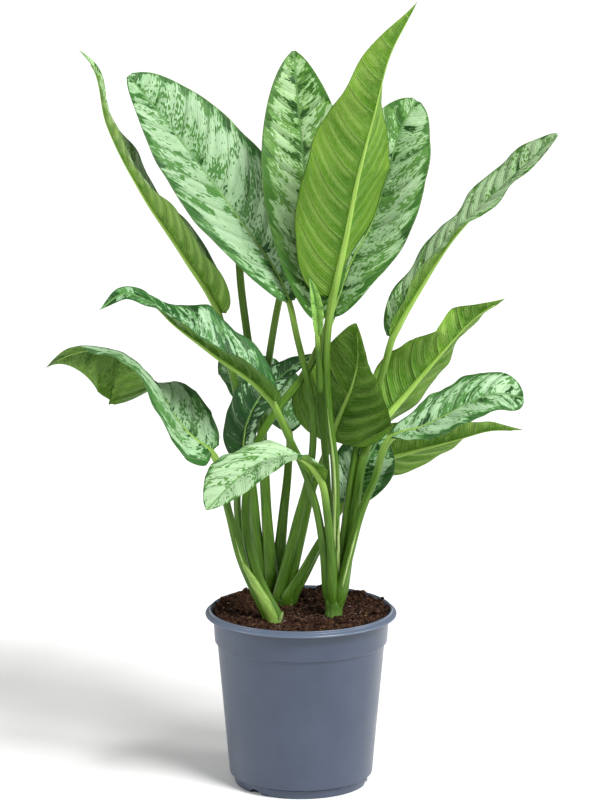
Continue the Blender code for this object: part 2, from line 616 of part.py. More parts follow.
def make_leaves(collection, work):
    for name, leaf in LEAVES.items():
        blade = add_object(name, make_blade(name, leaf), collection, "leaf")
        solid = blade.modifiers.new("Thickness", "SOLIDIFY")
        solid.thickness = BLADE_THICKNESS * MM
        solid.offset = 0
        path = leaf["stalk"] + leaf["rib"]
        start = blade_start(leaf)
        stalk_shares = np.linspace(0, start, max(5, len(leaf["stalk"]) + 2))
        rib_steps = np.linspace(0, RIB_END, RIB_STEPS)[1:]
        rib_shares = start + (1 - start) * rib_steps
        points, _ = curve_at(path, np.concatenate([stalk_shares, rib_shares]))
        foot, neck = leaf["girth"]
        stalk_radii = foot + (neck * NECK_SHARE - foot) * (stalk_shares / start) ** TAPER_POWER
        radii = np.concatenate([stalk_radii, rib_radius(leaf, rib_steps)])
        rib_name = name + "_rib"
        rod = add_object(rib_name, tube(rib_name, points, radii, work, RIB_BEVEL), work)
        cut(blade, rod, "UNION")
        mesh = evaluated_mesh(blade)
        bpy.data.objects.remove(blade)
        bpy.data.objects.remove(rod)
        add_object(name, mesh, collection, "leaf")


def main():
    for made in list(bpy.data.objects):
        bpy.data.objects.remove(made)
    plant = new_collection("potted_chinese_evergreen")
    cutters = new_collection("cutters")
    make_pot(plant, cutters)
    make_soil(plant, cutters)
    make_canes(plant)
    make_leaves(plant, cutters)
    for made in plant.objects:
        if made.name.startswith(("cane", "leaf")):
            made.data.shade_smooth()


main()
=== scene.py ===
"""The looks of a potted chinese evergreen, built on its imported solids.

The pot, the soil, the four canes and the nineteen leaves are rebuilt in finer form where their solids
stand. Crumbs, chips, fibres and papery sheaths are added. Sizes are in mm, and a mesh is written in metres.
"""

import math

import bmesh
import bpy
import numpy as np
from mathutils import Matrix, Vector, noise


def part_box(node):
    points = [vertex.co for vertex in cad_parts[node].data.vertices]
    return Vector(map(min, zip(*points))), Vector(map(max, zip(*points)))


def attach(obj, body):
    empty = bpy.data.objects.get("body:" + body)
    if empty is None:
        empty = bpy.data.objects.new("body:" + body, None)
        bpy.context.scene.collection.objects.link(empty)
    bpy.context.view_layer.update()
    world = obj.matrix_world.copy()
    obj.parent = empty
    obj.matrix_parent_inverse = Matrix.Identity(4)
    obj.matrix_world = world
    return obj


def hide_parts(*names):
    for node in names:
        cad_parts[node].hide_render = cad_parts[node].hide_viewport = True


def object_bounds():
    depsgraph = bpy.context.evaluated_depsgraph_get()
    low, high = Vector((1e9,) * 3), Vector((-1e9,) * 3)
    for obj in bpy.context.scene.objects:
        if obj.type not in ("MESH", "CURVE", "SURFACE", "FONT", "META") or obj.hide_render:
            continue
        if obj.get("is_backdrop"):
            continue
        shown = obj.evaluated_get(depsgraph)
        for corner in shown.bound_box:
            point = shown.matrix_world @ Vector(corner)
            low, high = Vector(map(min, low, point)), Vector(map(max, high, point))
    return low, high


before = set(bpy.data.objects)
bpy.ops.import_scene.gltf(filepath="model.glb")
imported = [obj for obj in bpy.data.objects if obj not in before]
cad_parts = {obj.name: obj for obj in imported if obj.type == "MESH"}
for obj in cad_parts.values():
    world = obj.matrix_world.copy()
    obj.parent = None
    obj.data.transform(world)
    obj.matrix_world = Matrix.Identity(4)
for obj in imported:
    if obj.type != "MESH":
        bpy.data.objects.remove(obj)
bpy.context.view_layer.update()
MM = 0.001

# The studio: a long lens looks down on the plant from a little over a metre up. A wide pale floor runs out
# of sight behind it, under a white sky, a broad soft top light and two large lamps.
CAMERA_PLACE = (0, -3.40, 1.076)
CAMERA_PITCH = math.radians(11.42)
CAMERA_LENS = 158.5
CAMERA_SHIFT = -0.00125
FLOOR_SIZE = 30
FLOOR_COLOUR = (0.93, 0.93, 0.92, 1)
SKY_COLOUR = (1.0, 1.0, 1.0, 1)
SKY_STRENGTH = 0.34
TOP_LIGHT = 3.6
TOP_LIGHT_SOFTNESS = math.radians(22)
TOP_LIGHT_FROM = (1.3, -1.5, 2.3)
LAMPS = {
    "lamp_left": {"place": (-2.6, -0.9, 1.6), "size": 1.0, "power": 32},
    "lamp_right": {"place": (2.6, -0.5, 1.3), "size": 1.0, "power": 26},
}
LAMP_AIM = (0, 0, 0.42)

camera_data = bpy.data.cameras.new("camera")
camera_data.lens = CAMERA_LENS
camera_data.shift_x = CAMERA_SHIFT
camera = bpy.data.objects.new("camera", camera_data)
camera.location = CAMERA_PLACE
camera.rotation_euler = (math.pi / 2 - CAMERA_PITCH, 0, 0)
bpy.context.scene.collection.objects.link(camera)
bpy.context.scene.camera = camera


def place_light(light, place, aim):
    made = bpy.data.objects.new(light.name, light)
    made.location = place
    made.rotation_euler = (Vector(aim) - Vector(place)).to_track_quat("-Z", "Y").to_euler()
    bpy.context.scene.collection.objects.link(made)


top_light = bpy.data.lights.new("top_light", "SUN")
top_light.energy = TOP_LIGHT
top_light.angle = TOP_LIGHT_SOFTNESS
place_light(top_light, TOP_LIGHT_FROM, (0, 0, 0))
for name, lamp in LAMPS.items():
    light = bpy.data.lights.new(name, "AREA")
    light.shape = "DISK"
    light.size = lamp["size"]
    light.energy = lamp["power"]
    place_light(light, lamp["place"], LAMP_AIM)

sky = bpy.data.worlds.new("white_sky")
sky.use_nodes = True
background = sky.node_tree.nodes["Background"]
background.inputs["Color"].default_value = SKY_COLOUR
background.inputs["Strength"].default_value = SKY_STRENGTH
bpy.context.scene.world = sky
bpy.context.scene.view_settings.view_transform = "Standard"


def new_piece(name, bm, materials):
    """Writes a bmesh as a smooth-shaded object with its materials."""
    mesh = bpy.data.meshes.new(name)
    bm.to_mesh(mesh)
    bm.free()
    for finish in materials:
        mesh.materials.append(finish)
    mesh.shade_smooth()
    piece = bpy.data.objects.new(name, mesh)
    bpy.context.scene.collection.objects.link(piece)
    return piece


def new_finish(name, roughness, specular=0.5):
    """A material with its Principled shader, and the node tree to build on."""
    finish = bpy.data.materials.new(name)
    finish.use_nodes = True
    shader = finish.node_tree.nodes["Principled BSDF"]
    shader.inputs["Roughness"].default_value = roughness
    shader.inputs["Specular IOR Level"].default_value = specular
    return finish, finish.node_tree, shader


floor_paint, tree, shader = new_finish("pale_floor", 0.9, 0.1)
shader.inputs["Base Color"].default_value = FLOOR_COLOUR
bm = bmesh.new()
bmesh.ops.create_grid(bm, x_segments=1, y_segments=1, size=FLOOR_SIZE / 2)
floor = new_piece("floor", bm, [floor_paint])
floor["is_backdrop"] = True

# The pot: one shell of slate blue polypropylene, moulded with a beaded lip, a stiff collar, a tapered wall
# and a foot ring. A narrow slot with small ribs across it runs between the wall and the foot ring.
pot_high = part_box("pot")[1]
RIM_RADIUS = pot_high.x / MM
POT_HEIGHT = pot_high.z / MM
LIP_HEIGHT = 6.0
LIP_REACH = 7.8
LIP_SLOPE = 4.6
BEAD_HEIGHT = 2.6
BEAD_WIDTH = 1.6
COLLAR_HEIGHT = 26.5
COLLAR_TAPER = 1.6
LEDGE_DEPTH = 2.6
LEDGE_DROP = 1.6
WALL_THICKNESS = 1.8
WALL_FOOT_RADIUS = 71.5
WALL_FOOT_HEIGHT = 10.0
FOOT_RADIUS = 66.5
FOOT_THICKNESS = 3.0
FLOOR_HEIGHT = 5.0
PAD_RADIUS = 30.0
PAD_SLOPE = 2.0
SLOT_DEPTH = 3.2
SLOT_HEIGHT = 1.1
POT_SIDES = 128
ROUND_STEPS = 4
ROUND_LIMIT = 0.49
SHARP_ANGLE = math.radians(50)
SPIN_WELD = 0.00001
DRAIN_HOLES = 6
DRAIN_RADIUS = 5.0
DRAIN_CIRCLE = 44.0
DRAIN_DEPTH = 8.0
DRILL_SIDES = 24
NOTCHES = 3
NOTCH_RADIUS = 10.0
NOTCH_TOP = 4.8
NOTCH_TURN = math.radians(-133)
NOTCH_DEPTH = 9.0
SLOT_RIBS = 12
SLOT_RIB_SIZE = (4.6, 1.3, 1.8)
SLOT_RIB_TURN = NOTCH_TURN + 0.3
POT_BLUES = [(0.3, (0.038, 0.053, 0.090)), (0.75, (0.052, 0.071, 0.114))]
# The blue of the lip and its share are a painted highlight, lighter where the light from above falls on the
# lip.
LIP_HIGHLIGHT_BLUE = (0.115, 0.150, 0.215, 1)
LIP_HIGHLIGHT_SHARE = 0.7
DUST = (0.10, 0.065, 0.045, 1)
DUST_REACH = 6.0
DUST_LIMITS = (0.73, 0.62)
# A painted shadow in a thin line under the lip: its colour, how far below the lip it starts and is full, and
# its strength.
LIP_SHADOW = (0.022, 0.017, 0.015, 1)
LIP_SHADOW_START = 2.4
LIP_SHADOW_FULL = 0.9
LIP_SHADOW_STRENGTH = 0.85
LIP_BASE = POT_HEIGHT - LIP_HEIGHT
COLLAR_RADIUS = RIM_RADIUS - LIP_REACH
LEDGE_TOP = LIP_BASE - COLLAR_HEIGHT
LEDGE_RADIUS = COLLAR_RADIUS - COLLAR_TAPER
WALL_RADIUS = LEDGE_RADIUS - LEDGE_DEPTH

# The profile runs from the axis up inside the pot, over the lip and down outside it. Each corner is a
# radius, a height and how far from the corner its rounding begins.
POT_PROFILE = [
    (0, WALL_THICKNESS, 0),
    (PAD_RADIUS - WALL_THICKNESS, WALL_THICKNESS, 0.8),
    (PAD_RADIUS + PAD_SLOPE - WALL_THICKNESS, FLOOR_HEIGHT + WALL_THICKNESS, 1.0),
    (WALL_FOOT_RADIUS - 6, FLOOR_HEIGHT + WALL_THICKNESS, 2.0),
    (WALL_FOOT_RADIUS - 3.3, WALL_FOOT_HEIGHT + 1.5, 1.0),
    (WALL_RADIUS - WALL_THICKNESS, LEDGE_TOP - 0.8, 1.0),
    (LEDGE_RADIUS - WALL_THICKNESS, LEDGE_TOP + 1.6, 1.0),
    (COLLAR_RADIUS - WALL_THICKNESS, LIP_BASE, 2.0),
    (RIM_RADIUS - LIP_SLOPE - BEAD_WIDTH, POT_HEIGHT - 1.0, 0.4),
    (RIM_RADIUS - LIP_SLOPE - BEAD_WIDTH / 2, POT_HEIGHT, 0.5),
    (RIM_RADIUS - LIP_SLOPE, POT_HEIGHT, 0.8),
    (RIM_RADIUS - LIP_SLOPE + 0.5, POT_HEIGHT - BEAD_HEIGHT, 0.6),
    (RIM_RADIUS - 0.7, LIP_BASE + 2.4, 0.8),
    (RIM_RADIUS, LIP_BASE + 1.2, 0.5),
    (RIM_RADIUS - 0.3, LIP_BASE, 0.4),
    (COLLAR_RADIUS, LIP_BASE, 1.6),
    (LEDGE_RADIUS, LEDGE_TOP, 0.8),
    (WALL_RADIUS, LEDGE_TOP - LEDGE_DROP, 1.2),
    (WALL_FOOT_RADIUS, WALL_FOOT_HEIGHT, 0.8),
    (WALL_FOOT_RADIUS - SLOT_DEPTH - 2, WALL_FOOT_HEIGHT, 0.3),
    (WALL_FOOT_RADIUS - SLOT_DEPTH - 2, WALL_FOOT_HEIGHT - SLOT_HEIGHT, 0.3),
    (FOOT_RADIUS + 1.4, WALL_FOOT_HEIGHT - SLOT_HEIGHT, 0.8),
    (FOOT_RADIUS, 0, 0.6),
    (FOOT_RADIUS - FOOT_THICKNESS, 0, 0.6),
    (FOOT_RADIUS - FOOT_THICKNESS - 1, FLOOR_HEIGHT, 1.0),
    (PAD_RADIUS + PAD_SLOPE, FLOOR_HEIGHT, 1.0),
    (PAD_RADIUS, 0, 0.8),
    (0, 0, 0),
]


def rounded(profile):
    """The profile's points, with a short curve in place of each corner."""
    points = []
    corners = [Vector(corner[:2]) for corner in profile]
    for index, corner in enumerate(corners):
        size = profile[index][2]
        if size == 0:
            points.append(corner)
            continue
        before = corners[index - 1] - corner
        after = corners[index + 1] - corner
        start = corner + before.normalized() * min(size, before.length * ROUND_LIMIT)
        end = corner + after.normalized() * min(size, after.length * ROUND_LIMIT)
        for count in range(ROUND_STEPS + 1):
            share = count / ROUND_STEPS
            points.append((1 - share) ** 2 * start + 2 * share * (1 - share) * corner + share**2 * end)
    return points


def spun(points, sides):
    """A bmesh of revolution from points of radius and height."""
    bm = bmesh.new()
    verts = [bm.verts.new((point[0] * MM, 0, point[1] * MM)) for point in points]
    edges = [bm.edges.new(pair) for pair in zip(verts, verts[1:])]
    full = {"angle": 2 * math.pi, "steps": sides, "use_merge": True}
    bmesh.ops.spin(bm, geom=verts + edges, axis=(0, 0, 1), cent=(0, 0, 0), **full)
    bmesh.ops.remove_doubles(bm, verts=bm.verts, dist=SPIN_WELD)
    bmesh.ops.recalc_face_normals(bm, faces=bm.faces)
    return bm


def add_cylinder(bm, radius, depth, turn, place):
    sizes = {"radius1": radius * MM, "radius2": radius * MM, "depth": depth * MM}
    made = bmesh.ops.create_cone(bm, cap_ends=True, segments=DRILL_SIDES, **sizes)
    bmesh.ops.rotate(bm, verts=made["verts"], matrix=turn, cent=(0, 0, 0))
    bmesh.ops.translate(bm, verts=made["verts"], vec=place * MM)


def around(index, count, turn=0.0):
    """The unit vector outward to one of a ring of even places."""
    angle = turn + 2 * math.pi * index / count
    return Vector((math.cos(angle), math.sin(angle), 0))


def add_node(tree, kind, inputs=None, **settings):
    """Adds a node. A socket given as an input is linked, and a plain value is set."""
    made = tree.nodes.new("ShaderNode" + kind)
    for key, value in settings.items():
        setattr(made, key, value)
    for key, value in (inputs or {}).items():
        if isinstance(value, bpy.types.NodeSocket):
            tree.links.new(value, made.inputs[key])
        else:
            made.inputs[key].default_value = value
    return made


def tree_of(*values):
    """The node tree that the sockets among the values belong to."""
    return next(value.id_data for value in values if isinstance(value, bpy.types.NodeSocket))


def ramp(fac, stops):
    """A colour ramp with its stops as (position, colour)."""
    made = add_node(tree_of(fac), "ValToRGB", {"Fac": fac})
    elements = made.color_ramp.elements
    elements[0].position, elements[0].color = stops[0][0], (*stops[0][1], 1)
    elements[1].position, elements[1].color = stops[-1][0], (*stops[-1][1], 1)
    for position, colour in stops[1:-1]:
        elements.new(position).color = (*colour, 1)
    return made.outputs["Color"]


def maths(operation, first, second=0.0, third=0.0):
    values = {0: first, 1: second, 2: third}
    return add_node(tree_of(first, second, third), "Math", values, operation=operation).outputs[0]


def blend(factor, first, second):
    values = {"Factor": factor, 6: first, 7: second}
    return add_node(tree_of(factor), "Mix", values, data_type="RGBA").outputs[2]


def step(value, low, high, to_low=0.0, to_high=1.0):
    """Values from low to high are spread over another range, and the rest is held at its ends."""
    ends = {"Value": value, "From Min": low, "From Max": high, "To Min": to_low, "To Max": to_high}
    return add_node(tree_of(value), "MapRange", ends).outputs["Result"]


def own_places(tree):
    """The piece's own coordinates, in metres."""
    return add_node(tree, "TexCoord").outputs["Object"]


def grain(place, scale, detail, roughness=0.5):
    settings = {"Vector": place, "Scale": scale, "Detail": detail, "Roughness": roughness}
    return add_node(tree_of(place), "TexNoise", settings).outputs["Fac"]


def finish_with(shader, colour, height, strength, depth):
    """Links a colour to the shader, and a height as a bump whose depth is in metres."""
    bump = add_node(tree_of(height), "Bump", {"Height": height, "Strength": strength, "Distance": depth})
    shader.id_data.links.new(colour, shader.inputs["Base Color"])
    shader.id_data.links.new(bump.outputs["Normal"], shader.inputs["Normal"])


# The plastic is a cloudy blue with dust that thickens near the lip. The lip is painted lighter as a
# highlight, and a painted shadow lies in a line under it.
pot_plastic, tree, shader = new_finish("pot_plastic", 0.35, 0.5)
place = own_places(tree)
height = add_node(tree, "SeparateXYZ", {"Vector": place}).outputs["Z"]
cloudy = grain(place, 22, 4, 0.6)
near_lip = step(height, (LIP_BASE - DUST_REACH) * MM, LIP_BASE * MM, *DUST_LIMITS)
dusty = maths("GREATER_THAN", grain(place, 420, 2, 0.7), near_lip)
below_lip = step(height, (LIP_BASE + 0.2) * MM, (LIP_BASE + 0.6) * MM, 1.0, 0.0)
# a line of painted shadow darkens the collar just under the lip
painted_lip_shadow = step(height, (LIP_BASE - LIP_SHADOW_START) * MM, (LIP_BASE - LIP_SHADOW_FULL) * MM, 0.0, LIP_SHADOW_STRENGTH)
colour = blend(dusty, ramp(cloudy, POT_BLUES), DUST)
colour = blend(maths("MULTIPLY", painted_lip_shadow, below_lip), colour, LIP_SHADOW)
# the lip above its base is painted lighter, a painted highlight where light falls from above
colour = blend(maths("SUBTRACT", LIP_HIGHLIGHT_SHARE, below_lip), colour, LIP_HIGHLIGHT_BLUE)
finish_with(shader, colour, grain(place, 900, 2, 0.6), 0.12, 0.0004)
tree.links.new(step(cloudy, 0.3, 0.7, 0.27, 0.38), shader.inputs["Roughness"])

pot = new_piece("nursery_pot", spun(rounded(POT_PROFILE), POT_SIDES), [pot_plastic])
bm = bmesh.new()
for index in range(DRAIN_HOLES):
    place = around(index + 0.5, DRAIN_HOLES) * DRAIN_CIRCLE + Vector((0, 0, FLOOR_HEIGHT))
    add_cylinder(bm, DRAIN_RADIUS, DRAIN_DEPTH, Matrix.Identity(3), place)
for index in range(NOTCHES):
    way = around(index, NOTCHES, NOTCH_TURN)
    turn = way.to_track_quat("Z", "Y").to_matrix()
    place = way * (FOOT_RADIUS - FOOT_THICKNESS / 2) + Vector((0, 0, NOTCH_TOP - NOTCH_RADIUS))
    add_cylinder(bm, NOTCH_RADIUS, NOTCH_DEPTH, turn, place)
holes = new_piece("holes", bm, [])
drill = pot.modifiers.new("holes", "BOOLEAN")
drill.operation = "DIFFERENCE"
drill.object = holes
drill.solver = "EXACT"
drilled = bpy.data.meshes.new_from_object(pot.evaluated_get(bpy.context.evaluated_depsgraph_get()))
pot.modifiers.clear()
pot.data = drilled
bpy.data.objects.remove(holes)
bm = bmesh.new()
bm.from_mesh(drilled)
for index in range(SLOT_RIBS):
    way = around(index, SLOT_RIBS, SLOT_RIB_TURN)
    rib = bmesh.ops.create_cube(bm, size=MM)
    bmesh.ops.scale(bm, verts=rib["verts"], vec=SLOT_RIB_SIZE)
    bmesh.ops.rotate(bm, verts=rib["verts"], matrix=Matrix.Rotation(math.atan2(way.y, way.x), 3, "Z"))
    centre = way * (WALL_FOOT_RADIUS - SLOT_DEPTH) + Vector((0, 0, WALL_FOOT_HEIGHT - SLOT_HEIGHT / 2))
    bmesh.ops.translate(bm, verts=rib["verts"], vec=centre * MM)
bm.to_mesh(drilled)
bm.free()
drilled.set_sharp_from_angle(angle=SHARP_ANGLE)
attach(pot, "root")
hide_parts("pot")

# The soil: moist brown potting mix of bark fibre and peat. It is tipped in nearly to the lip, lies in
# crumbs, and is heaped about one shoot, with pale fibres and a few chips of bark on top.
SOIL_TOP = 174.5
SOIL_LUMP = 1.6
MOUND_PLACE = (-30, 46)
MOUND_HEIGHT = 9.0
MOUND_SPREAD = 20.0
SOIL_SLACK = 0.6
SOIL_FLOOR_GAP = 0.3
SOIL_RINGS = 60
SOIL_SIDES = 160
CLOD_RELIEF = 2.6
CLOD_SCALE = 0.09
EDGE_RISE = 1.8
EDGE_POWER = 8
EDGE_REACH = 1.0
RING_POWER = 0.85
CRUMBS = 3200
CRUMB_MARGIN = -2.2
CRUMB_SIZES = (0.5, 1.7)
SMALL_CRUMBS = 0.93
BIG_CRUMB = 0.9
CRUMB_PALEST = 0.78
CRUMB_SEAT = 0.25
CHIPS = 150
CHIP_MARGIN = 4
CHIP_LIFT = 0.6
CHIP_LEAN = 0.5
CHIP_SIZES = ((3, 1, 0.5), (7, 2.6, 1.1))
FIBRES = 420
FIBRE_MARGIN = 6
FIBRE_LIFT = 0.7
FIBRE_LENGTHS = (4, 15)
FIBRE_RADII = (0.12, 0.3)
FIBRE_BOW = 0.35
FIBRE_STEPS = 5
FIBRE_SIDES = 4
PALE_FIBRE_EVERY = 9
PALE_BITS = 16
PALE_BIT_MARGIN = 8
PALE_BIT_LIFT = 1.1
ROD_WELD = 0.000002
PEAT_BROWNS = [(0.34, (0.010, 0.005, 0.004)), (0.72, (0.095, 0.046, 0.026))]
CRUMB_DARK = (0.010, 0.005, 0.004, 1)
# Crumbs, chips and fibres take a brown by their tint, and a tint of 1 is the straw brown of some fibres.
CRUMB_BROWNS = [
    (0.0, (0.008, 0.004, 0.003)), (0.5, (0.058, 0.026, 0.014)), (0.8, (0.185, 0.095, 0.054)),
    (0.9999, (1.0, 1.0, 1.0)), (1.0, (0.36, 0.23, 0.13))
]
STRAWS = [(0.42, (0.42, 0.33, 0.18)), (0.55, (0.30, 0.36, 0.12))]
random = np.random.default_rng(7)


def soil_height(x, y):
    """The soil's surface in mm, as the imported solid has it: lumps of peat, and a mound about one shoot."""
    lumps = (
        np.sin(x * 0.11 + 1.3) * np.sin(y * 0.13 + 0.4)
        + 0.6 * np.sin(x * 0.23 - y * 0.19)
        + 0.5 * np.sin(x * 0.31 + y * 0.37 + 2.0)
    )
    away = (x - MOUND_PLACE[0]) ** 2 + (y - MOUND_PLACE[1]) ** 2
    return SOIL_TOP + SOIL_LUMP * lumps + MOUND_HEIGHT * np.exp(-away / (2 * MOUND_SPREAD**2))


def crumbled_height(x, y):
    """The surface with its clods and crumbs."""
    clods = noise.fractal(Vector((x * CLOD_SCALE, y * CLOD_SCALE, 3.1)), 0.7, 2.2, 5)
    rise = EDGE_RISE * (math.hypot(x, y) / soil_edge) ** EDGE_POWER
    return soil_height(x, y) + rise + CLOD_RELIEF * clods


def scatter(count, margin):
    """Even random places on the soil, in mm."""
    distance = (soil_edge - margin) * np.sqrt(random.random(count))
    angle = random.random(count) * 2 * math.pi
    return np.stack([distance * np.cos(angle), distance * np.sin(angle)], axis=1)


def on_soil(x, y, lift):
    """The move to a place on the crumbled surface, raised by a lift in mm."""
    return Matrix.Translation(Vector((x, y, crumbled_height(x, y) + lift)) * MM)


def random_turn():
    axis = Vector(random.normal(size=3)).normalized()
    return Matrix.Rotation(random.random() * 2 * math.pi, 4, axis)


def tinted_mesh():
    small = bmesh.new()
    small.verts.layers.float.new("tint")
    return small


def join(bm, small, tint):
    """Adds a crumb, chip or fibre in its own tint. Each is made apart, which keeps the operators quick."""
    layer = small.verts.layers.float["tint"]
    for vert in small.verts:
        vert[layer] = tint
    data = bpy.data.meshes.new("small")
    small.to_mesh(data)
    small.free()
    bm.from_mesh(data)
    bpy.data.meshes.remove(data)


soil_edge = COLLAR_RADIUS - WALL_THICKNESS - SOIL_SLACK
soil_top = soil_edge + EDGE_REACH
soil_floor = WALL_THICKNESS + SOIL_FLOOR_GAP
soil_profile = [(soil_top * (index / SOIL_RINGS) ** RING_POWER, SOIL_TOP) for index in range(SOIL_RINGS + 1)]
for radius, height in [
    (LEDGE_RADIUS, LEDGE_TOP + LEDGE_DROP),
    (WALL_RADIUS, LEDGE_TOP - LEDGE_DROP / 2),
    (WALL_FOOT_RADIUS - 1.5, WALL_FOOT_HEIGHT + 1.5),
    (WALL_FOOT_RADIUS - 4.1, FLOOR_HEIGHT + soil_floor),
    (PAD_RADIUS + PAD_SLOPE, FLOOR_HEIGHT + soil_floor),
    (PAD_RADIUS, soil_floor),
]:
    soil_profile.append((radius - WALL_THICKNESS - SOIL_SLACK, height))
soil_profile.append((0, soil_floor))
bm = spun(soil_profile, SOIL_SIDES)
for vert in bm.verts:
    if vert.co.z > (SOIL_TOP - 1) * MM:
        vert.co.z = crumbled_height(vert.co.x / MM, vert.co.y / MM) * MM

peat, tree, shader = new_finish("potting_mix", 0.92, 0.08)
place = own_places(tree)
browns = ramp(grain(place, 160, 6, 0.75), PEAT_BROWNS)
finish_with(shader, browns, grain(place, 700, 4, 0.7), 0.9, 0.0012)
soil = new_piece("potting_mix", bm, [peat])
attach(soil, "root")
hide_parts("soil")


def attribute(tree, name, output="Vector"):
    return add_node(tree, "Attribute", attribute_name=name).outputs[output]


crumb_brown, tree, shader = new_finish("crumb_brown", 0.9, 0.08)
tint = attribute(tree, "tint", "Fac")
rough = grain(own_places(tree), 900, 3)
mottled = blend(rough, CRUMB_DARK, ramp(tint, CRUMB_BROWNS))
finish_with(shader, mottled, rough, 0.6, 0.0006)

bm = bmesh.new()
for x, y in scatter(CRUMBS, CRUMB_MARGIN):
    small = tinted_mesh()
    size = random.uniform(*CRUMB_SIZES) * (1 + BIG_CRUMB * (random.random() > SMALL_CRUMBS))
    shape = random_turn() @ Matrix.Diagonal((*random.uniform(0.6, 1.3, 3), 1))
    place = on_soil(x, y, size * CRUMB_SEAT) @ shape
    bmesh.ops.create_icosphere(small, subdivisions=1, radius=size * MM, matrix=place)
    join(bm, small, random.random() * CRUMB_PALEST)
crumbs = new_piece("soil_crumbs", bm, [crumb_brown])
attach(crumbs, "root")

bm = bmesh.new()
for x, y in scatter(CHIPS, CHIP_MARGIN):
    small = tinted_mesh()
    lean, tilt, turn = random.uniform((-CHIP_LEAN, -CHIP_LEAN, 0), (CHIP_LEAN, CHIP_LEAN, 2 * math.pi))
    shape = Matrix.Rotation(turn, 4, "Z") @ Matrix.Rotation(lean, 4, "Y") @ Matrix.Rotation(tilt, 4, "X")
    shape = shape @ Matrix.Diagonal((*random.uniform(*CHIP_SIZES), 1))
    bmesh.ops.create_cube(small, size=MM, matrix=on_soil(x, y, CHIP_LIFT) @ shape)
    join(bm, small, random.uniform(0.3, 0.85))
chips = new_piece("bark_chips", bm, [crumb_brown])
chips.data.shade_flat()
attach(chips, "root")


def unit(vectors):
    return vectors / np.linalg.norm(vectors, axis=-1, keepdims=True)


def square_to(heading, vectors):
    """Unit vectors, turned square to the headings."""
    return unit(vectors - (vectors * heading).sum(1)[:, None] * heading)


def wrapped(bm, places, ups, radius_at, sides):
    """A closed rod on a grid that is wrapped round its path. radius_at gives radii from row and angle."""
    count = len(places)
    heading = unit(np.gradient(places, axis=0))
    up = square_to(heading, ups)
    side = np.cross(heading, up)
    made = bmesh.ops.create_grid(bm, x_segments=count - 1, y_segments=sides, size=1)["verts"]
    rows = np.array([round((vert.co.x + 1) / 2 * (count - 1)) for vert in made])
    angles = np.array([(vert.co.y + 1) * math.pi for vert in made])
    radii = radius_at(rows, angles)[:, None]
    ring = up[rows] * np.cos(angles)[:, None] - side[rows] * np.sin(angles)[:, None]
    for vert, co in zip(made, places[rows] + ring * radii):
        vert.co = co * MM
    return made, rows, angles


def close_rod(bm):
    """Welds a wrapped grid's seam and caps its ends."""
    bmesh.ops.remove_doubles(bm, verts=bm.verts, dist=ROD_WELD)
    rims = [edge for edge in bm.edges if edge.is_boundary]
    bmesh.ops.holes_fill(bm, edges=rims, sides=0)


bm = bmesh.new()
for index, (x, y) in enumerate(scatter(FIBRES, FIBRE_MARGIN)):
    small = tinted_mesh()
    length = random.uniform(*FIBRE_LENGTHS)
    turn = random.random() * 2 * math.pi
    bow = random.uniform(-FIBRE_BOW, FIBRE_BOW)
    steps = np.linspace(-0.5, 0.5, FIBRE_STEPS + 1)
    along = np.stack([steps * length, bow * length * (0.25 - steps**2) * 2], axis=1)
    xs = x + along[:, 0] * math.cos(turn) - along[:, 1] * math.sin(turn)
    ys = y + along[:, 0] * math.sin(turn) + along[:, 1] * math.cos(turn)
    zs = [crumbled_height(a, b) + FIBRE_LIFT for a, b in zip(xs, ys)]
    thickness = random.uniform(*FIBRE_RADII)
    path = np.stack([xs, ys, np.array(zs) + random.uniform(0, 1.2) * (steps + 0.5)], axis=1)
    ups = np.tile((0.0, 0.0, 1.0), (len(path), 1))
    wrapped(small, path, ups, lambda rows, angles: np.full(len(rows), thickness), FIBRE_SIDES)
    close_rod(small)
    join(bm, small, 1.0 if index % PALE_FIBRE_EVERY == 0 else random.uniform(0.4, 0.9))
fibres = new_piece("soil_fibres", bm, [crumb_brown])
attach(fibres, "root")

straw, tree, shader = new_finish("straw", 0.8, 0.3)
tree.links.new(ramp(grain(own_places(tree), 60, 2), STRAWS), shader.inputs["Base Color"])
bm = bmesh.new()
for x, y in scatter(PALE_BITS, PALE_BIT_MARGIN):
    turn = Matrix.Rotation(random.random() * 2 * math.pi, 4, "Z")
    shape = turn @ Matrix.Diagonal((random.uniform(0.8, 3.2), random.uniform(0.4, 0.8), 0.4, 1))
    place = on_soil(x, y, PALE_BIT_LIFT)
    bmesh.ops.create_icosphere(bm, subdivisions=1, radius=MM, matrix=place @ shape)
bits = new_piece("pale_bits", bm, [straw])
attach(bits, "root")

# The front left shoot: a green cane leans out of the soil, and three petioles rise behind it. Each leaf
# grows as one piece, a grooved petiole that runs on as the midrib of a thin, quilted, waved blade. A papery
# sheath stands along one petiole, and a torn flap of another at the cane's foot.
CANE_STEPS = 80
CANE_SIDES = 32
CANE_RINGS = 4
CANE_TIP = 0.06
CANE_FRONT = (0.3, -1.0, 0.1)
RING_SWELL = 0.04
BLADE_ROWS = 128
BLADE_COLUMNS = 48
BLADE_THICKNESS = 0.7
BLADE_LIFT = 0.55
BLADE_CURL = math.radians(-24)
WAVE_SHIFT = 0.37
LOBE_REACH = 0.16
LOBE_END = 0.3
VEIN_SPACING = 17.0
VEIN_LEAN = 0.35
VEIN_BEND = 0.0145
QUILT_HEIGHT = 3.8
QUILT_MIDDLE = 0.6
QUILT_UNEVEN = 0.3
QUILT_START = 7.0
SIDE_EDGE = 6
END_EDGE = 10
BLADE_WELD = 0.000004
FRILL_HEIGHT = 0.8
FRILL_COUNT = 7.3
RIB_END = 0.66
RIB_TIP_RADIUS = 1.1
RIB_RUN = 0.93
RIB_ROWS = 44
RIB_GROOVE = 0.35
RIB_FILLET = 0.5
RIB_SUNK = 0.4
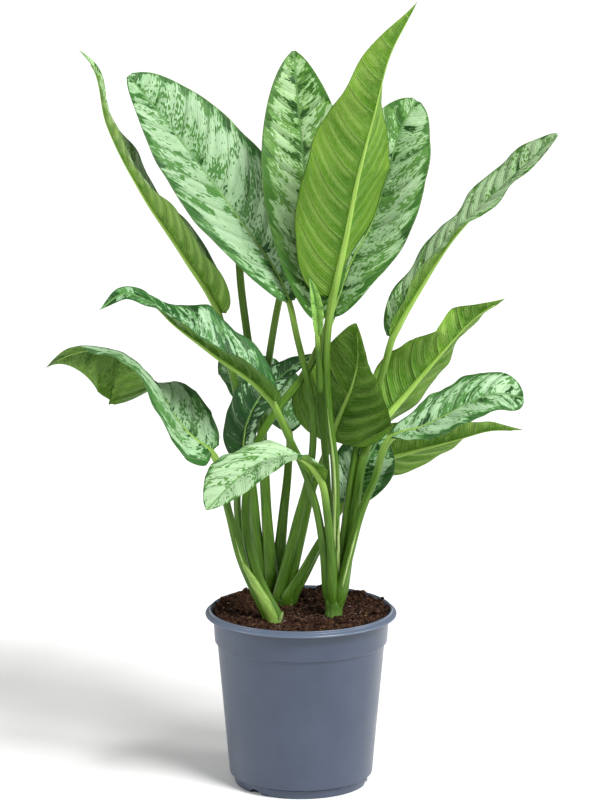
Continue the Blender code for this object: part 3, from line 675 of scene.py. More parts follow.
NECK_SHARE = 0.9
TAPER_POWER = 0.7
STALK_STEP = 6.0
STALK_SIDES = 24
PETIOLE_FINISH = 2
GROOVE_DEPTH = 0.26
GROOVE_LIPS = 0.07
CLASP_KNOTS = [(8, 0.84), (20, 0.45)]
CLASP_STEPS = 9
CLASP_TAPER = 0.8
FOOT_FLARE = 0.65
FOOT_LENGTH = 60.0
SHEATH_STEPS = 14
SHEATH_SIDES = 12
SHEATH_THICKNESS = 0.35
SHEATH_HUG = 8.0
SHEATH_RAGGED = 0.16
SHEATH_BITE = 0.1
SHEATH_GRAIN = 40
FRONT_LEFT_CANE = {
    "axis": [(-25, -41, 146), (-26, -41, 170), (-34, -42, 192), (-46, -43, 215), (-58, -44, 236)],
    "radius": 5.8, "crown": 1.4, "pale": 0.8,
}


def gaps(points):
    """The distances from each point to the next."""
    return np.linalg.norm(np.diff(np.array(points, float), axis=0), axis=1)


def curve_at(points, where):
    """Places on a smooth curve through the points, and its directions, at shares of its length."""
    knots = np.array(points, float)
    steps = gaps(knots)
    share = np.concatenate([[0.0], np.cumsum(steps)]) / steps.sum()
    slope = np.gradient(knots, share, axis=0)
    where = np.atleast_1d(where)
    span = np.clip(np.searchsorted(share, where, side="right") - 1, 0, len(steps) - 1)
    length = (share[span + 1] - share[span])[:, None]
    u = (where[:, None] - share[span][:, None]) / length
    start, end = knots[span], knots[span + 1]
    leave, arrive = slope[span] * length, slope[span + 1] * length
    place = start + (3 * u**2 - 2 * u**3) * (end - start)
    place += (u**3 - 2 * u**2 + u) * leave + (u**3 - u**2) * arrive
    heading = 6 * (u - u**2) * (end - start) + (3 * u**2 - 4 * u + 1) * leave + (3 * u**2 - 2 * u) * arrive
    return place, unit(heading)


def lengths(leaf):
    """The petiole's length and the blade's, in mm."""
    steps = gaps(leaf["stalk"] + leaf["rib"])
    stalk = steps[: len(leaf["stalk"])].sum()
    return stalk, steps.sum() - stalk


def spread(values, t):
    """Values given at even steps from base to tip, read at t from 0 to 1."""
    values = np.array(values, float)
    stations = np.linspace(0, 1, len(values))
    return np.stack([np.interp(t, stations, column) for column in values.T], axis=-1)


def half_width(leaf, t, across):
    """The outline: round or narrow at the base, fullest at its widest place and drawn out to the tip."""
    skew = math.log(0.5) / math.log(leaf["widest"])
    swell = np.sin(math.pi * np.clip(t, 0.004, 0.997) ** skew)
    left_heel, right_heel = leaf["heel"]
    power = np.where(across < 0, left_heel, right_heel)
    power = np.where(t < leaf["widest"], power, leaf["point"])
    return leaf["width"] / 2 * swell**power


def rib_radius(leaf, t):
    """The rib under the blade thins from the petiole's neck to the tip."""
    neck = leaf["girth"][1] * NECK_SHARE
    return neck + (RIB_TIP_RADIUS - neck) * np.clip(t / RIB_END, 0, 1) ** TAPER_POWER


def petiole_radius(leaf, share):
    """The petiole thins from its foot to its neck."""
    foot, neck = leaf["girth"]
    return foot + (neck * NECK_SHARE - foot) * share**TAPER_POWER


def foot_flare(distance):
    """A petiole's foot is this much wider at a distance in mm along it."""
    return 1 + FOOT_FLARE * np.exp(-distance / FOOT_LENGTH)


def upper_side(leaf, t, heading):
    """The way that the upper side looks, square to the midrib."""
    return square_to(heading, spread(leaf["face"], t))


def blade_points(leaf, t, across):
    """Points of the blade at shares t of its length and across from -1, left, to 1, right."""
    stalk, blade = lengths(leaf)
    start = stalk / (stalk + blade)
    place, heading = curve_at(leaf["stalk"] + leaf["rib"], start + (1 - start) * t)
    face = upper_side(leaf, t, heading)
    side = np.cross(heading, face)
    fold = spread(leaf["fold"], t)
    lift = np.radians(np.where(across < 0, fold[:, 0], fold[:, 1]))
    reach = np.abs(across)
    curl = np.minimum(BLADE_CURL * np.sin(math.pi * t), -1e-3)
    width = half_width(leaf, t, across)
    begin = lift - curl / 2
    out = width / curl * (np.sin(begin + curl * reach) - np.sin(begin))
    up = -width / curl * (np.cos(begin + curl * reach) - np.cos(begin))
    height, count, phase = leaf["wave"]
    shift = np.where(across < 0, 0.0, WAVE_SHIFT)
    ripple = np.sin(2 * math.pi * (count * t + phase + shift))
    frill = FRILL_HEIGHT * np.sin(2 * math.pi * (FRILL_COUNT * t + 2.6 * phase + 1.7 * shift)) * reach**4
    up = up + (height * ripple * reach**2 + frill) * np.sin(math.pi * t)
    up = up + BLADE_LIFT * rib_radius(leaf, t)
    lobe = -LOBE_REACH * width * reach**1.5 * np.clip(1 - t / LOBE_END, 0, 1)
    along = lobe[:, None] * heading
    return place + along + side * (out * np.sign(across))[:, None] + face * up[:, None]


def mark(vert, layers, leaf, vein, along):
    """Notes on a point its place among the veins, its share of the leaf's length and the leaf's own tone."""
    vert[layers["vein"]] = vein
    vert[layers["tone"]] = (along, *leaf["tone"][:2])
    vert[layers["seed"]] = leaf["tone"][2]


def add_blade(bm, leaf, layers):
    """The blade: an upper and a lower grid, a leaf's thickness apart, that are welded at the margin."""
    rows, columns = BLADE_ROWS + 1, BLADE_COLUMNS + 1
    t, across = np.meshgrid(np.linspace(0, 1, rows), np.linspace(-1, 1, columns), indexing="ij")
    points = blade_points(leaf, t.ravel(), across.ravel()).reshape(rows, columns, 3)
    normal = np.cross(np.gradient(points, axis=1), np.gradient(points, axis=0))
    normal /= np.linalg.norm(normal, axis=2)[:, :, None] + 1e-9
    blade_length = lengths(leaf)[1]
    width = half_width(leaf, t.ravel(), across.ravel()).reshape(rows, columns)
    out = np.abs(across) * width
    origin = t * blade_length - VEIN_LEAN * out - VEIN_BEND * out**2
    shift = np.where(across < 0, 0.0, VEIN_SPACING * WAVE_SHIFT)
    # the leaf thins to its margin, and the quilt puffs up between the side veins and fades at its ends
    edge = (1 - np.abs(across) ** SIDE_EDGE) * (1 - (2 * t - 1) ** END_EDGE)
    turn = math.pi * (origin + shift) / VEIN_SPACING
    puff = np.abs(np.sin(turn)) - QUILT_MIDDLE
    strong = 1 - QUILT_UNEVEN + QUILT_UNEVEN * np.cos(turn)
    fade = np.clip(out / QUILT_START, 0, 1) * (1 - np.abs(across) ** 3) * (1 - (2 * t - 1) ** 6)
    quilt = QUILT_HEIGHT * puff * strong * fade
    rib = rib_radius(leaf, t)
    groove = RIB_GROOVE * rib * np.exp(-((out / (0.7 * rib + 0.5)) ** 2))
    fillet = RIB_FILLET * rib * np.exp(-((out / (1.8 * rib)) ** 2))
    upper = quilt + (BLADE_THICKNESS / 2 - groove) * edge
    lower = quilt - (BLADE_THICKNESS / 2 + fillet) * edge
    for finish, offset in enumerate([upper, lower]):
        surface = points + normal * offset[:, :, None]
        grid = bmesh.ops.create_grid(bm, x_segments=BLADE_ROWS, y_segments=BLADE_COLUMNS, size=1)["verts"]
        for vert in grid:
            row = round((vert.co.x + 1) / 2 * BLADE_ROWS)
            column = round((vert.co.y + 1) / 2 * BLADE_COLUMNS)
            vert.co = surface[row, column] * MM
            place = (origin[row, column] + shift[row, column], out[row, column], across[row, column])
            mark(vert, layers, leaf, place, t[row, column])
        faces = {face for vert in grid for face in vert.link_faces}
        for face in faces:
            face.material_index = finish
        if finish == 0:
            bmesh.ops.reverse_faces(bm, faces=list(faces))
    bmesh.ops.remove_doubles(bm, verts=bm.verts, dist=BLADE_WELD)


def clasp(leaf, cane):
    """The petiole's foot runs on down into its cane: places from deep in the cane up to the foot."""
    axis = np.array(cane["axis"], float)
    foot = np.array(leaf["stalk"][0], float)
    knots = [foot, np.array(leaf["stalk"][1], float)]
    for depth, out in CLASP_KNOTS:
        height = foot[2] - depth
        centre = [np.interp(height, axis[:, 2], axis[:, i]) for i in (0, 1)] + [height]
        side = (foot - centre) * (1, 1, 0)
        knots.insert(0, centre + side * out)
    steps = gaps(knots)
    return curve_at(knots, np.linspace(0, steps[:-1].sum() / steps.sum(), CLASP_STEPS))[0][:-1]


def add_stalk(bm, leaf, cane, layers):
    """The petiole and the midrib: one grooved rod that sinks into the blade's underside."""
    stalk, blade = lengths(leaf)
    start = stalk / (stalk + blade)
    count = round(stalk / STALK_STEP)
    under_blade = start + (1 - start) * np.linspace(0, RIB_RUN, RIB_ROWS)
    run = np.concatenate([np.linspace(0, start, count), under_blade[1:]])
    places, heading = curve_at(leaf["stalk"] + leaf["rib"], run)
    t = np.clip((run - start) / (1 - start), 0, 1)
    up = upper_side(leaf, t, heading)
    share = np.clip(run / start, 0, 1)
    radii = np.where(t > 0, rib_radius(leaf, t), petiole_radius(leaf, share))
    radii = radii * np.clip((RIB_RUN - t) / 0.5, 0.25, 1) ** 0.5
    radii = radii * foot_flare(run * (stalk + blade))
    places = places - up * (RIB_SUNK * radii * np.clip(t / 0.05, 0, 1))[:, None]
    # the groove opens above the foot and closes where the blade begins
    grooved = np.clip(1.2 - t / 0.03, 0, 1) * np.clip(share * 6, 0, 1)
    if cane:
        below = clasp(leaf, cane)
        places = np.concatenate([below, places])
        radii = np.concatenate([radii[0] * np.linspace(CLASP_TAPER, 1, len(below)), radii])
        up = np.concatenate([up[:1].repeat(len(below), 0), up])
        behind = np.zeros(len(below))
        run = np.concatenate([np.linspace(-0.1, 0, len(below)), run])
        share, t, grooved = [np.concatenate([behind, values]) for values in (share, t, grooved)]

    def radius_at(rows, angles):
        turn = np.minimum(angles, 2 * math.pi - angles)
        groove = GROOVE_DEPTH * np.exp(-((turn / 0.5) ** 2))
        groove = groove - GROOVE_LIPS * np.exp(-(((turn - 0.85) / 0.3) ** 2))
        return radii[rows] * (1 - groove * grooved[rows])

    made, rows, angles = wrapped(bm, places, up, radius_at, STALK_SIDES)
    for vert, row, angle in zip(made, rows, angles):
        place = (run[row] * (stalk + blade), radii[row] * angle, math.cos(angle))
        mark(vert, layers, leaf, place, share[row] + t[row])
    for face in {face for vert in made for face in vert.link_faces}:
        face.material_index = PETIOLE_FINISH
    close_rod(bm)


def make_leaf(name, cane, heel=(0.6, 0.6), **leaf):
    """One leaf, from points along its petiole (stalk) and its midrib (rib), in mm.

    At even steps from base to tip, face is the way that the upper side looks, and fold is how far its left
    and right halves lift, in degrees. width is the greatest width in mm, and widest is its place. heel and
    point are powers of the outline near base and tip, rounder below 1. wave gives the height, number and
    phase of the margin's waves, girth the radii of the petiole's foot and neck, and tone the shares of
    silver and yellow, and a seed. A yellow below 0 paints shade over the upper side, and the yellow also
    sets how strongly shade and highlights are painted between the underside's veins.
    """
    leaf["heel"] = heel
    bm = bmesh.new()
    layers = {
        "vein": bm.verts.layers.float_vector.new("vein"),
        "tone": bm.verts.layers.float_vector.new("tone"),
        "seed": bm.verts.layers.float.new("seed"),
    }
    add_blade(bm, leaf, layers)
    add_stalk(bm, leaf, cane, layers)
    piece = new_piece(name.removeprefix("leaf_") + "_leaf", bm, [blade_upper, blade_under, petiole_green])
    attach(piece, "root")
    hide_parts(name)
    return leaf


def beside(leaf, start, end, turn):
    """Places on a petiole's skin between two shares of its length, on the side that turn (degrees) faces."""
    stalk, blade = lengths(leaf)
    share = np.linspace(start, end, SHEATH_STEPS)
    places = curve_at(leaf["stalk"] + leaf["rib"], share * stalk / (stalk + blade))[0]
    radii = petiole_radius(leaf, share) * foot_flare(share * stalk)
    turn = math.radians(turn)
    return places + np.outer(radii - SHEATH_BITE, (math.sin(turn), -math.cos(turn), 0))


def make_sheaths(name, sheaths):
    """Papery sheaths that hug their petioles. Each has places, the turn it faces, half its width, a curl."""
    bm = bmesh.new()
    vein = bm.verts.layers.float_vector.new("vein")
    for places, turn, wide, curl in sheaths:
        share = np.linspace(0, 1, SHEATH_STEPS)
        places = curve_at(list(places), share)[0]
        facing = np.array((math.sin(math.radians(turn)), -math.cos(math.radians(turn)), 0))
        places = places + np.outer(curl * share**3, facing)
        ragged = 1 + SHEATH_RAGGED * np.sin(share * 23 + turn)
        half = wide * np.clip(np.sin(math.pi * (0.22 + 0.775 * share)), 0.02, 1) ** 0.7 * ragged

        def radius_at(rows, angles):
            flat = (np.cos(angles) / SHEATH_THICKNESS) ** 2 + (np.sin(angles) / half[rows]) ** 2
            return 1 / np.sqrt(flat)

        made, rows, angles = wrapped(bm, places, np.tile(facing, (SHEATH_STEPS, 1)), radius_at, SHEATH_SIDES)
        offsets = radius_at(rows, angles) * np.sin(angles)
        for vert, row, angle, offset in zip(made, rows, angles, offsets):
            vert.co -= Vector(facing) * (offset**2 / SHEATH_HUG * MM)
            vert[vein] = (share[row] * SHEATH_GRAIN, offset, share[row])
    close_rod(bm)
    piece = new_piece(name, bm, [papery])
    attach(piece, "root")


def make_cane(name, cane):
    share = np.linspace(0, 1, CANE_STEPS)
    places = curve_at(cane["axis"], share)[0]
    swell = 1 + RING_SWELL * np.cos(share * 2 * math.pi * CANE_RINGS)
    radii = (cane["radius"] + (cane["crown"] - cane["radius"]) * share**3) * swell
    radii = radii * np.clip((1 - share) / CANE_TIP, 0.02, 1) ** 0.4
    bm = bmesh.new()
    vein = bm.verts.layers.float_vector.new("vein")
    pale = bm.verts.layers.float.new("pale")
    ups = np.tile(CANE_FRONT, (CANE_STEPS, 1))
    made, rows, angles = wrapped(bm, places, ups, lambda rows, angles: radii[rows], CANE_SIDES)
    for vert, row, angle in zip(made, rows, angles):
        vert[vein] = (places[row][2], radii[row] * angle, share[row])
        vert[pale] = cane["pale"]
    close_rod(bm)
    piece = new_piece(name.removeprefix("cane_") + "_cane", bm, [cane_green])
    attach(piece, "root")
    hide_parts(name)


# The leaf's variegated pattern is a group: ragged silver between the veins, green margins, patches and
# specks. It also gives a wave between the side veins for painted shade and painted highlights.
pattern = bpy.data.node_groups.new("variegation_and_painted_shading", "ShaderNodeTree")
for label, kind in [("Vein", "Vector"), ("Tone", "Vector"), ("Seed", "Float")]:
    pattern.interface.new_socket(label, in_out="INPUT", socket_type="NodeSocket" + kind)
for label in ("Silver", "Pale", "Deep", "Veins", "Relief", "Painted_shading", "Mid"):
    pattern.interface.new_socket(label, in_out="OUTPUT", socket_type="NodeSocketFloat")
given = pattern.nodes.new("NodeGroupInput")
result = pattern.nodes.new("NodeGroupOutput")
vein = add_node(pattern, "SeparateXYZ", {"Vector": given.outputs["Vein"]})
tone = add_node(pattern, "SeparateXYZ", {"Vector": given.outputs["Tone"]})
origin, out, across = vein.outputs["X"], vein.outputs["Y"], vein.outputs["Z"]
t, silver_share = tone.outputs["X"], tone.outputs["Y"]
reach = maths("ABSOLUTE", across)


def scaled(value, factor, added=0.0):
    """A value of the pattern times another, with a third added."""
    return maths("MULTIPLY_ADD", value, factor, added)


seed = scaled(maths("SIGN", across), 3.7, scaled(given.outputs["Seed"], 11.3))


def streaks(across_veins, along_veins, detail, offset):
    """Noise about zero that is drawn out along the side veins, at the given scales per mm."""
    place = {0: scaled(origin, across_veins), 1: scaled(out, along_veins), 2: scaled(seed, 1.0, offset)}
    place = add_node(pattern, "CombineXYZ", place).outputs["Vector"]
    return maths("SUBTRACT", grain(place, 1.0, detail, 0.6), 0.5)


broad = streaks(0.036, 0.028, 0, 0.0)
patchy = streaks(0.15, 0.065, 1, 5.0)
ragged = streaks(0.50, 0.27, 2, 9.0)
specks = streaks(0.42, 0.30, 0, 14.0)
clusters = streaks(0.055, 0.045, 0, 19.0)
turn = scaled(origin, math.pi / VEIN_SPACING)
cosine = maths("COSINE", turn)
beside_vein = scaled(cosine, 0.5, 0.5)

# The silver ends at the margin, near the base and the tip, and in wedges along the midrib.
level = silver_share
for green in (
    step(scaled(beside_vein, 0.15, reach), 0.82, 1.08, 0.0, 0.9),
    step(t, 0.0, 0.3, 0.28, 0.0),
    step(t, 0.8, 1.0, 0.0, 0.15),
    scaled(step(out, 0.0, 17.0, 0.42, 0.0), beside_vein),
):
    level = maths("SUBTRACT", level, green)
for streak, strength in [(broad, 0.8), (patchy, 1.7), (ragged, 1.0)]:
    level = scaled(streak, strength, level)
clear = maths("SUBTRACT", 1.0, step(scaled(clusters, 1.1, specks), 0.13, 0.15))
clear = maths("MAXIMUM", clear, step(silver_share, 1.5, 2.0))
darkness = step(reach, 0.1, 0.9, 0.62, 0.2)
ridge = maths("SUBTRACT", 1.0, maths("ABSOLUTE", maths("SINE", turn)))
main_vein = scaled(maths("POWER", ridge, 7.0), scaled(cosine, 0.35, 0.65))
small_vein = maths("ABSOLUTE", maths("SINE", scaled(turn, 6.0)))
# A wave across each gap between side veins, for painted shade in the hollows and painted highlights on the
# crests.
swell = scaled(maths("SINE", scaled(turn, 2.0, 0.5)), step(out, 2.0, 9.0))
swell = scaled(swell, step(reach, 0.75, 1.0, 1.0, 0.1))
made = {
    "Silver": scaled(step(level, -0.012, 0.012), clear),
    "Pale": step(scaled(patchy, -0.6, level), 0.0, 0.45),
    "Deep": scaled(broad, 1.2, scaled(specks, 0.5, darkness)),
    "Veins": main_vein,
    "Relief": scaled(ragged, 0.5, scaled(small_vein, 0.22, scaled(main_vein, -1.0))),
    "Painted_shading": scaled(swell, 0.5, 0.5),
    "Mid": step(scaled(clusters, 0.9, level), -0.12, -0.09),
}
for label, value in made.items():
    pattern.links.new(value, result.inputs[label])


def leaf_inputs(tree):
    """The pattern's marks in a material, and the leaf's own places and tones."""
    vein, tone = attribute(tree, "vein"), attribute(tree, "tone")
    given = {"Vein": vein, "Tone": tone, "Seed": attribute(tree, "seed", "Fac")}
    group = add_node(tree, "Group", given, node_tree=pattern)
    parts = [add_node(tree, "SeparateXYZ", {"Vector": place}).outputs for place in (vein, tone)]
    return group.outputs, *parts


def painted(colour, layers):
    """Lays more colours over one, each where its mask says."""
    for mask, over in layers:
        colour = blend(mask, colour, over)
    return colour


def along_grain(tree, along, around, detail):
    """Streaks that run along a petiole, a sheath or a cane, at the given scales per mm."""
    stretched = {"Vector": attribute(tree, "vein"), "Scale": (along, around, 0)}
    return grain(add_node(tree, "Mapping", stretched).outputs["Vector"], 1.0, detail)


# The upper side is mint or lime silver on bluish or leafy green, by how yellow the leaf is. A yellow tone
# below 0 paints shade over the whole upper side, and painted shade darkens the hollows between the side
# veins.
MIDDLE_BLUISH = (0.075, 0.215, 0.055, 1)
MIDDLE_LEAFY = (0.140, 0.295, 0.040, 1)
PAINTED_SHADE_GREEN = (0.004, 0.036, 0.003, 1)
YOUNG_GREEN = (0.170, 0.370, 0.045, 1)
UPPER_VEIN = (0.36, 0.56, 0.28, 1)
UPPER_PAINTED_SHADE = (0.030, 0.120, 0.020, 1)
UPPER_RIB = (0.14, 0.31, 0.09, 1)
RIM_PALE = (0.30, 0.46, 0.14, 1)
blade_upper, tree, shader = new_finish("blade_upper", 0.38, 0.25)
marks, vein, tone = leaf_inputs(tree)
yellow = tone["Z"]
mint = ramp(marks["Pale"], [(0.0, (0.25, 0.44, 0.23)), (1.0, (0.40, 0.59, 0.37))])
lime = ramp(marks["Pale"], [(0.0, (0.25, 0.44, 0.13)), (1.0, (0.40, 0.57, 0.26))])
bluish = ramp(marks["Deep"], [(0.2, (0.030, 0.122, 0.026)), (0.7, (0.007, 0.045, 0.006))])
leafy = ramp(marks["Deep"], [(0.2, (0.065, 0.185, 0.012)), (0.7, (0.010, 0.055, 0.003))])
middle = blend(yellow, MIDDLE_BLUISH, MIDDLE_LEAFY)
rim = step(maths("ABSOLUTE", vein["Z"]), 0.975, 0.995, 0.0, 0.6)
colour = painted(blend(yellow, bluish, leafy), [
    (marks["Mid"], middle),
    # painted shade over the whole upper side of a leaf whose yellow tone is below 0
    (step(yellow, 0.0, -1.0, 0.0, 0.75), PAINTED_SHADE_GREEN),
    (marks["Silver"], blend(yellow, mint, lime)),
    (step(tone["Y"], 1.5, 2.0, 0.0, 0.85), YOUNG_GREEN),
    (maths("MULTIPLY", marks["Veins"], 0.35), UPPER_VEIN),
    # painted shade in the hollows between the side veins
    (step(marks["Painted_shading"], 0.5, 1.0, 0.0, 0.15), UPPER_PAINTED_SHADE),
    (step(vein["Y"], 0.8, 1.7, 0.85, 0.0), UPPER_RIB),
    (rim, RIM_PALE),
])
fine = grain(own_places(tree), 900, 2)
finish_with(shader, colour, maths("MULTIPLY_ADD", fine, 0.15, marks["Relief"]), 0.6, 0.0018)

# The underside is a plain pale green with light veins. Painted highlights on the crests and painted shade in
# the hollows between the veins stand for the light on its relief, and painted shade darkens it towards the
# leaf's base. The grey-green of some leaves is partly darkened as painted shade.
UNDER_SILVER = (0.27, 0.43, 0.13, 1)
UNDER_PAINTED_BASE_SHADE = (0.045, 0.140, 0.006, 1)
UNDER_PAINTED_SHADE = (0.055, 0.160, 0.006, 1)
UNDER_PAINTED_HIGHLIGHT = (0.36, 0.56, 0.13, 1)
UNDER_VEIN = (0.36, 0.53, 0.15, 1)
blade_under, tree, shader = new_finish("blade_under", 0.45, 0.15)
marks, vein, tone = leaf_inputs(tree)
yellow = tone["Z"]
# The grey-green is a leaf's own tone, partly darkened as painted shade for leaves that hang in shade.
greyish_and_painted_shade = ramp(marks["Deep"], [(0.2, (0.095, 0.215, 0.020)), (0.7, (0.030, 0.090, 0.004))])
bright = ramp(marks["Deep"], [(0.2, (0.185, 0.350, 0.036)), (0.7, (0.080, 0.215, 0.010))])
strength = step(yellow, 0.2, 1.0, 0.10, 0.50)
colour = painted(blend(yellow, greyish_and_painted_shade, bright), [
    (maths("MULTIPLY", marks["Silver"], 0.14), UNDER_SILVER),
    # painted shade towards the leaf's base
    (step(tone["X"], 0.0, 0.6, 0.4, 0.0), UNDER_PAINTED_BASE_SHADE),
    # painted shade in the hollows and painted highlights on the crests between the veins
    (maths("MULTIPLY", step(marks["Painted_shading"], 0.5, 1.0), strength), UNDER_PAINTED_SHADE),
    (maths("MULTIPLY", step(marks["Painted_shading"], 0.4, 0.0), strength), UNDER_PAINTED_HIGHLIGHT),
    (maths("MULTIPLY", marks["Veins"], 0.65), UNDER_VEIN),
])
fine = maths("MULTIPLY", grain(own_places(tree), 900, 2), 0.15)
finish_with(shader, colour, maths("SUBTRACT", fine, marks["Relief"]), 0.9, 0.0018)

petiole_green, tree, shader = new_finish("petiole_green", 0.4, 0.25)
run = add_node(tree, "SeparateXYZ", {"Vector": attribute(tree, "tone")}).outputs["X"]
streak = along_grain(tree, 0.035, 0.9, 3)
low = ramp(streak, [(0.3, (0.026, 0.085, 0.005)), (0.7, (0.095, 0.200, 0.015))])
high = ramp(streak, [(0.3, (0.21, 0.39, 0.045)), (0.7, (0.37, 0.56, 0.12))])
colour = blend(step(run, 0.75, 1.15), low, high)
finish_with(shader, colour, streak, 0.25, 0.0005)

papery, tree, shader = new_finish("papery_sheath", 0.6, 0.2)
streak = along_grain(tree, 0.12, 1.1, 4)
paper = [(0.35, (0.16, 0.30, 0.05)), (0.55, (0.30, 0.43, 0.13)), (0.7, (0.50, 0.57, 0.32))]
colour = ramp(streak, paper)
finish_with(shader, colour, streak, 0.4, 0.0006)

cane_green, tree, shader = new_finish("cane_green", 0.45, 0.4)
streak = along_grain(tree, 0.06, 0.4, 4)
dark = ramp(streak, [(0.3, (0.020, 0.075, 0.006)), (0.7, (0.075, 0.180, 0.022))])
light = ramp(streak, [(0.3, (0.12, 0.25, 0.025)), (0.7, (0.30, 0.44, 0.09))])
colour = blend(attribute(tree, "pale", "Fac"), dark, light)
finish_with(shader, colour, streak, 0.3, 0.0006)

make_cane("cane_front_left", FRONT_LEFT_CANE)
left_low = make_leaf(
    "leaf_left_low", FRONT_LEFT_CANE,
    stalk=[(-33, -32.3, 180), (-44, -34.5, 202), (-59, -37, 237), (-71, -38, 285)],
    rib=[(-88, -38, 345), (-106, -44, 361), (-121, -48, 379), (-131, -50, 397), (-141, -48, 414),
        (-152, -44, 426), (-165, -38, 437), (-179, -32, 443), (-195, -26, 444), (-216, -20, 441),
        (-238, -16, 432), (-251, -14, 423)],
    face=[(0.5, -0.5, 0.7), (0.5, -0.5, 0.7), (0.5, -0.45, 0.7), (0.4, -0.2, 0.85), (0.2, 0.1, 1.0),
        (0.05, 0.85, 0.5), (0.0, 0.95, 0.3), (0.0, 0.95, 0.3), (0.0, 0.9, 0.4)],
    fold=[(0, 20), (4, 20), (18, 8), (14, -10), (5, -68), (-54, -22), (-56, -25), (-50, 10), (-40, 50)],
    width=110, widest=0.58, point=1.4, heel=(0.25, 0.28), wave=(2.0, 3.0, 0.8), girth=(3.6, 3.8),
    tone=(0.42, 0.1, 8),
)
# This leaf's yellow tone of -1 paints shade over its upper side.
make_leaf(
    "leaf_left_inner", FRONT_LEFT_CANE,
    stalk=[(-29, -25.2, 184), (-41, -22.5, 205), (-51, -21, 234), (-60, -17, 262), (-63, -6, 292)],
    rib=[(-57, 10, 324), (-54, 17, 358), (-38, 21, 390), (-16, 25, 410), (13, 30, 430)],
    face=[(-0.5, -0.6, 0.6), (-0.4, -0.6, 0.6), (-0.3, -0.5, 0.8)],
    fold=[(24, 24), (18, 18), (12, 12)],
    width=52, widest=0.42, point=0.9, wave=(2.0, 2.5, 0.0), girth=(3.6, 3.4), tone=(0.06, -1.0, 10),
)
make_leaf(
    "leaf_upper_right", FRONT_LEFT_CANE,
    stalk=[(-25, -32.3, 180), (-36, -31.5, 202), (-46, -31, 228), (-54, -25, 265), (-53, -18, 305),
        (-42, -10, 350), (-20, 0, 384), (3, 10, 412)],
    rib=[(30, 14, 470), (50, 34, 521), (68, 48, 553), (88, 62, 611), (97, 70, 644), (114, 80, 676)],
    face=[(-0.1, -0.85, 0.4), (-0.1, -0.85, 0.4), (0, -0.8, 0.5)],
    fold=[(24, 24), (20, 24), (26, 28), (50, 0)],
    width=98, widest=0.5, point=0.46, wave=(3.0, 3.0, 0.5), girth=(3.8, 4.4), tone=(0.34, 0.4, 5),
)
TORN_FLAP = [(-22.5, -42.5, 171), (-20.8, -43.5, 176), (-19.2, -43.8, 181), (-18.2, -43.5, 186)]
FRONT_LEFT_SHEATHS = [
    (TORN_FLAP, 20, 2.6, 1.0),
    (beside(left_low, 0.05, 0.5, 10), 10, 1.3, 0.3),
]
make_sheaths("front_left_sheaths", FRONT_LEFT_SHEATHS)

# The back left shoot: the thickest, a short ringed cane in the mound, with four long petioles close
# together. Its upper leaves stand behind the others and lean away to the left and to the back.
BACK_LEFT_CANE = {
    "axis": [(-30, 46, 158), (-30, 46, 183), (-30, 46, 195), (-30, 46, 205)],
    "radius": 8.0, "crown": 10.5, "pale": 0.1,
}
make_cane("cane_back_left", BACK_LEFT_CANE)
make_leaf(
    "leaf_left_high", BACK_LEFT_CANE,
    stalk=[(-38, 44, 206), (-44, 45, 240), (-48, 44, 285), (-54, 40, 335), (-66, 37, 400), (-75, 34, 440)],
    rib=[(-81, 32, 470), (-115, 32, 528), (-156, 30, 591), (-190, 26, 660), (-203, 20, 716),
        (-216, 12, 733)],
    face=[(0.85, 0.1, 0.5), (0.85, -0.1, 0.5), (0.9, -0.2, 0.4)],
    fold=[(38, 46), (34, 28), (30, 14), (27, 8), (24, 6), (21, 6), (18, 6)],
    width=88, widest=0.36, point=1.0, heel=(0.7, 0.75), wave=(3.5, 3.0, 0.1), girth=(5.0, 4.0),
    tone=(0.4, 0.8, 1),
)
make_leaf(
    "leaf_back_left", BACK_LEFT_CANE,
    stalk=[(-23, 46, 206), (-18, 47, 260), (-13, 54, 308)],
    rib=[(-12, 68, 342), (-34, 106, 366), (-58, 152, 388), (-78, 192, 398)],
    face=[(0.1, -0.5, 0.86), (0.1, -0.5, 0.86), (0.1, -0.3, 0.9)],
    fold=[(24, 24), (18, 18), (12, 12)],
    width=80, widest=0.45, point=0.8, wave=(3.0, 3.0, 0.7), girth=(4.4, 3.8), tone=(0.4, 0.1, 11),
)
make_leaf(
    "leaf_back_high", BACK_LEFT_CANE,
    stalk=[(-30, 38, 206), (-34, 40, 260), (-37, 42, 320), (-45, 44, 390), (-54, 46, 450), (-60, 50, 500)],
    rib=[(-62, 56, 532), (-63, 90, 560), (-66, 128, 582), (-72, 166, 592), (-77, 204, 584),
        (-80, 228, 564)],
    face=[(-0.1, -0.75, 0.6), (-0.1, -0.5, 0.85), (0, 0, 1), (0, 0.4, 0.9)],
    fold=[(26, 26), (18, 18), (10, 10)],
    width=70, widest=0.45, point=0.8, wave=(3.0, 3.0, 0.9), girth=(4.3, 4.2), tone=(0.3, 0.2, 17),
)
make_leaf(
    "leaf_back_top", BACK_LEFT_CANE,
    stalk=[(-31, 54, 206), (-35, 58, 260), (-38, 60, 320), (-36, 57, 385), (-29, 52, 440)],
    rib=[(-20, 50, 488), (-1, 74, 548), (19, 97, 604), (44, 120, 650), (66, 137, 682)],
    face=[(-0.1, -0.8, 0.5), (-0.1, -0.8, 0.5), (0, -0.6, 0.7)],
    fold=[(26, 26), (18, 18), (10, 10)],
    width=80, widest=0.45, point=0.8, wave=(3.0, 3.0, 0.4), girth=(4.3, 3.8), tone=(0.3, 0.6, 18),
)

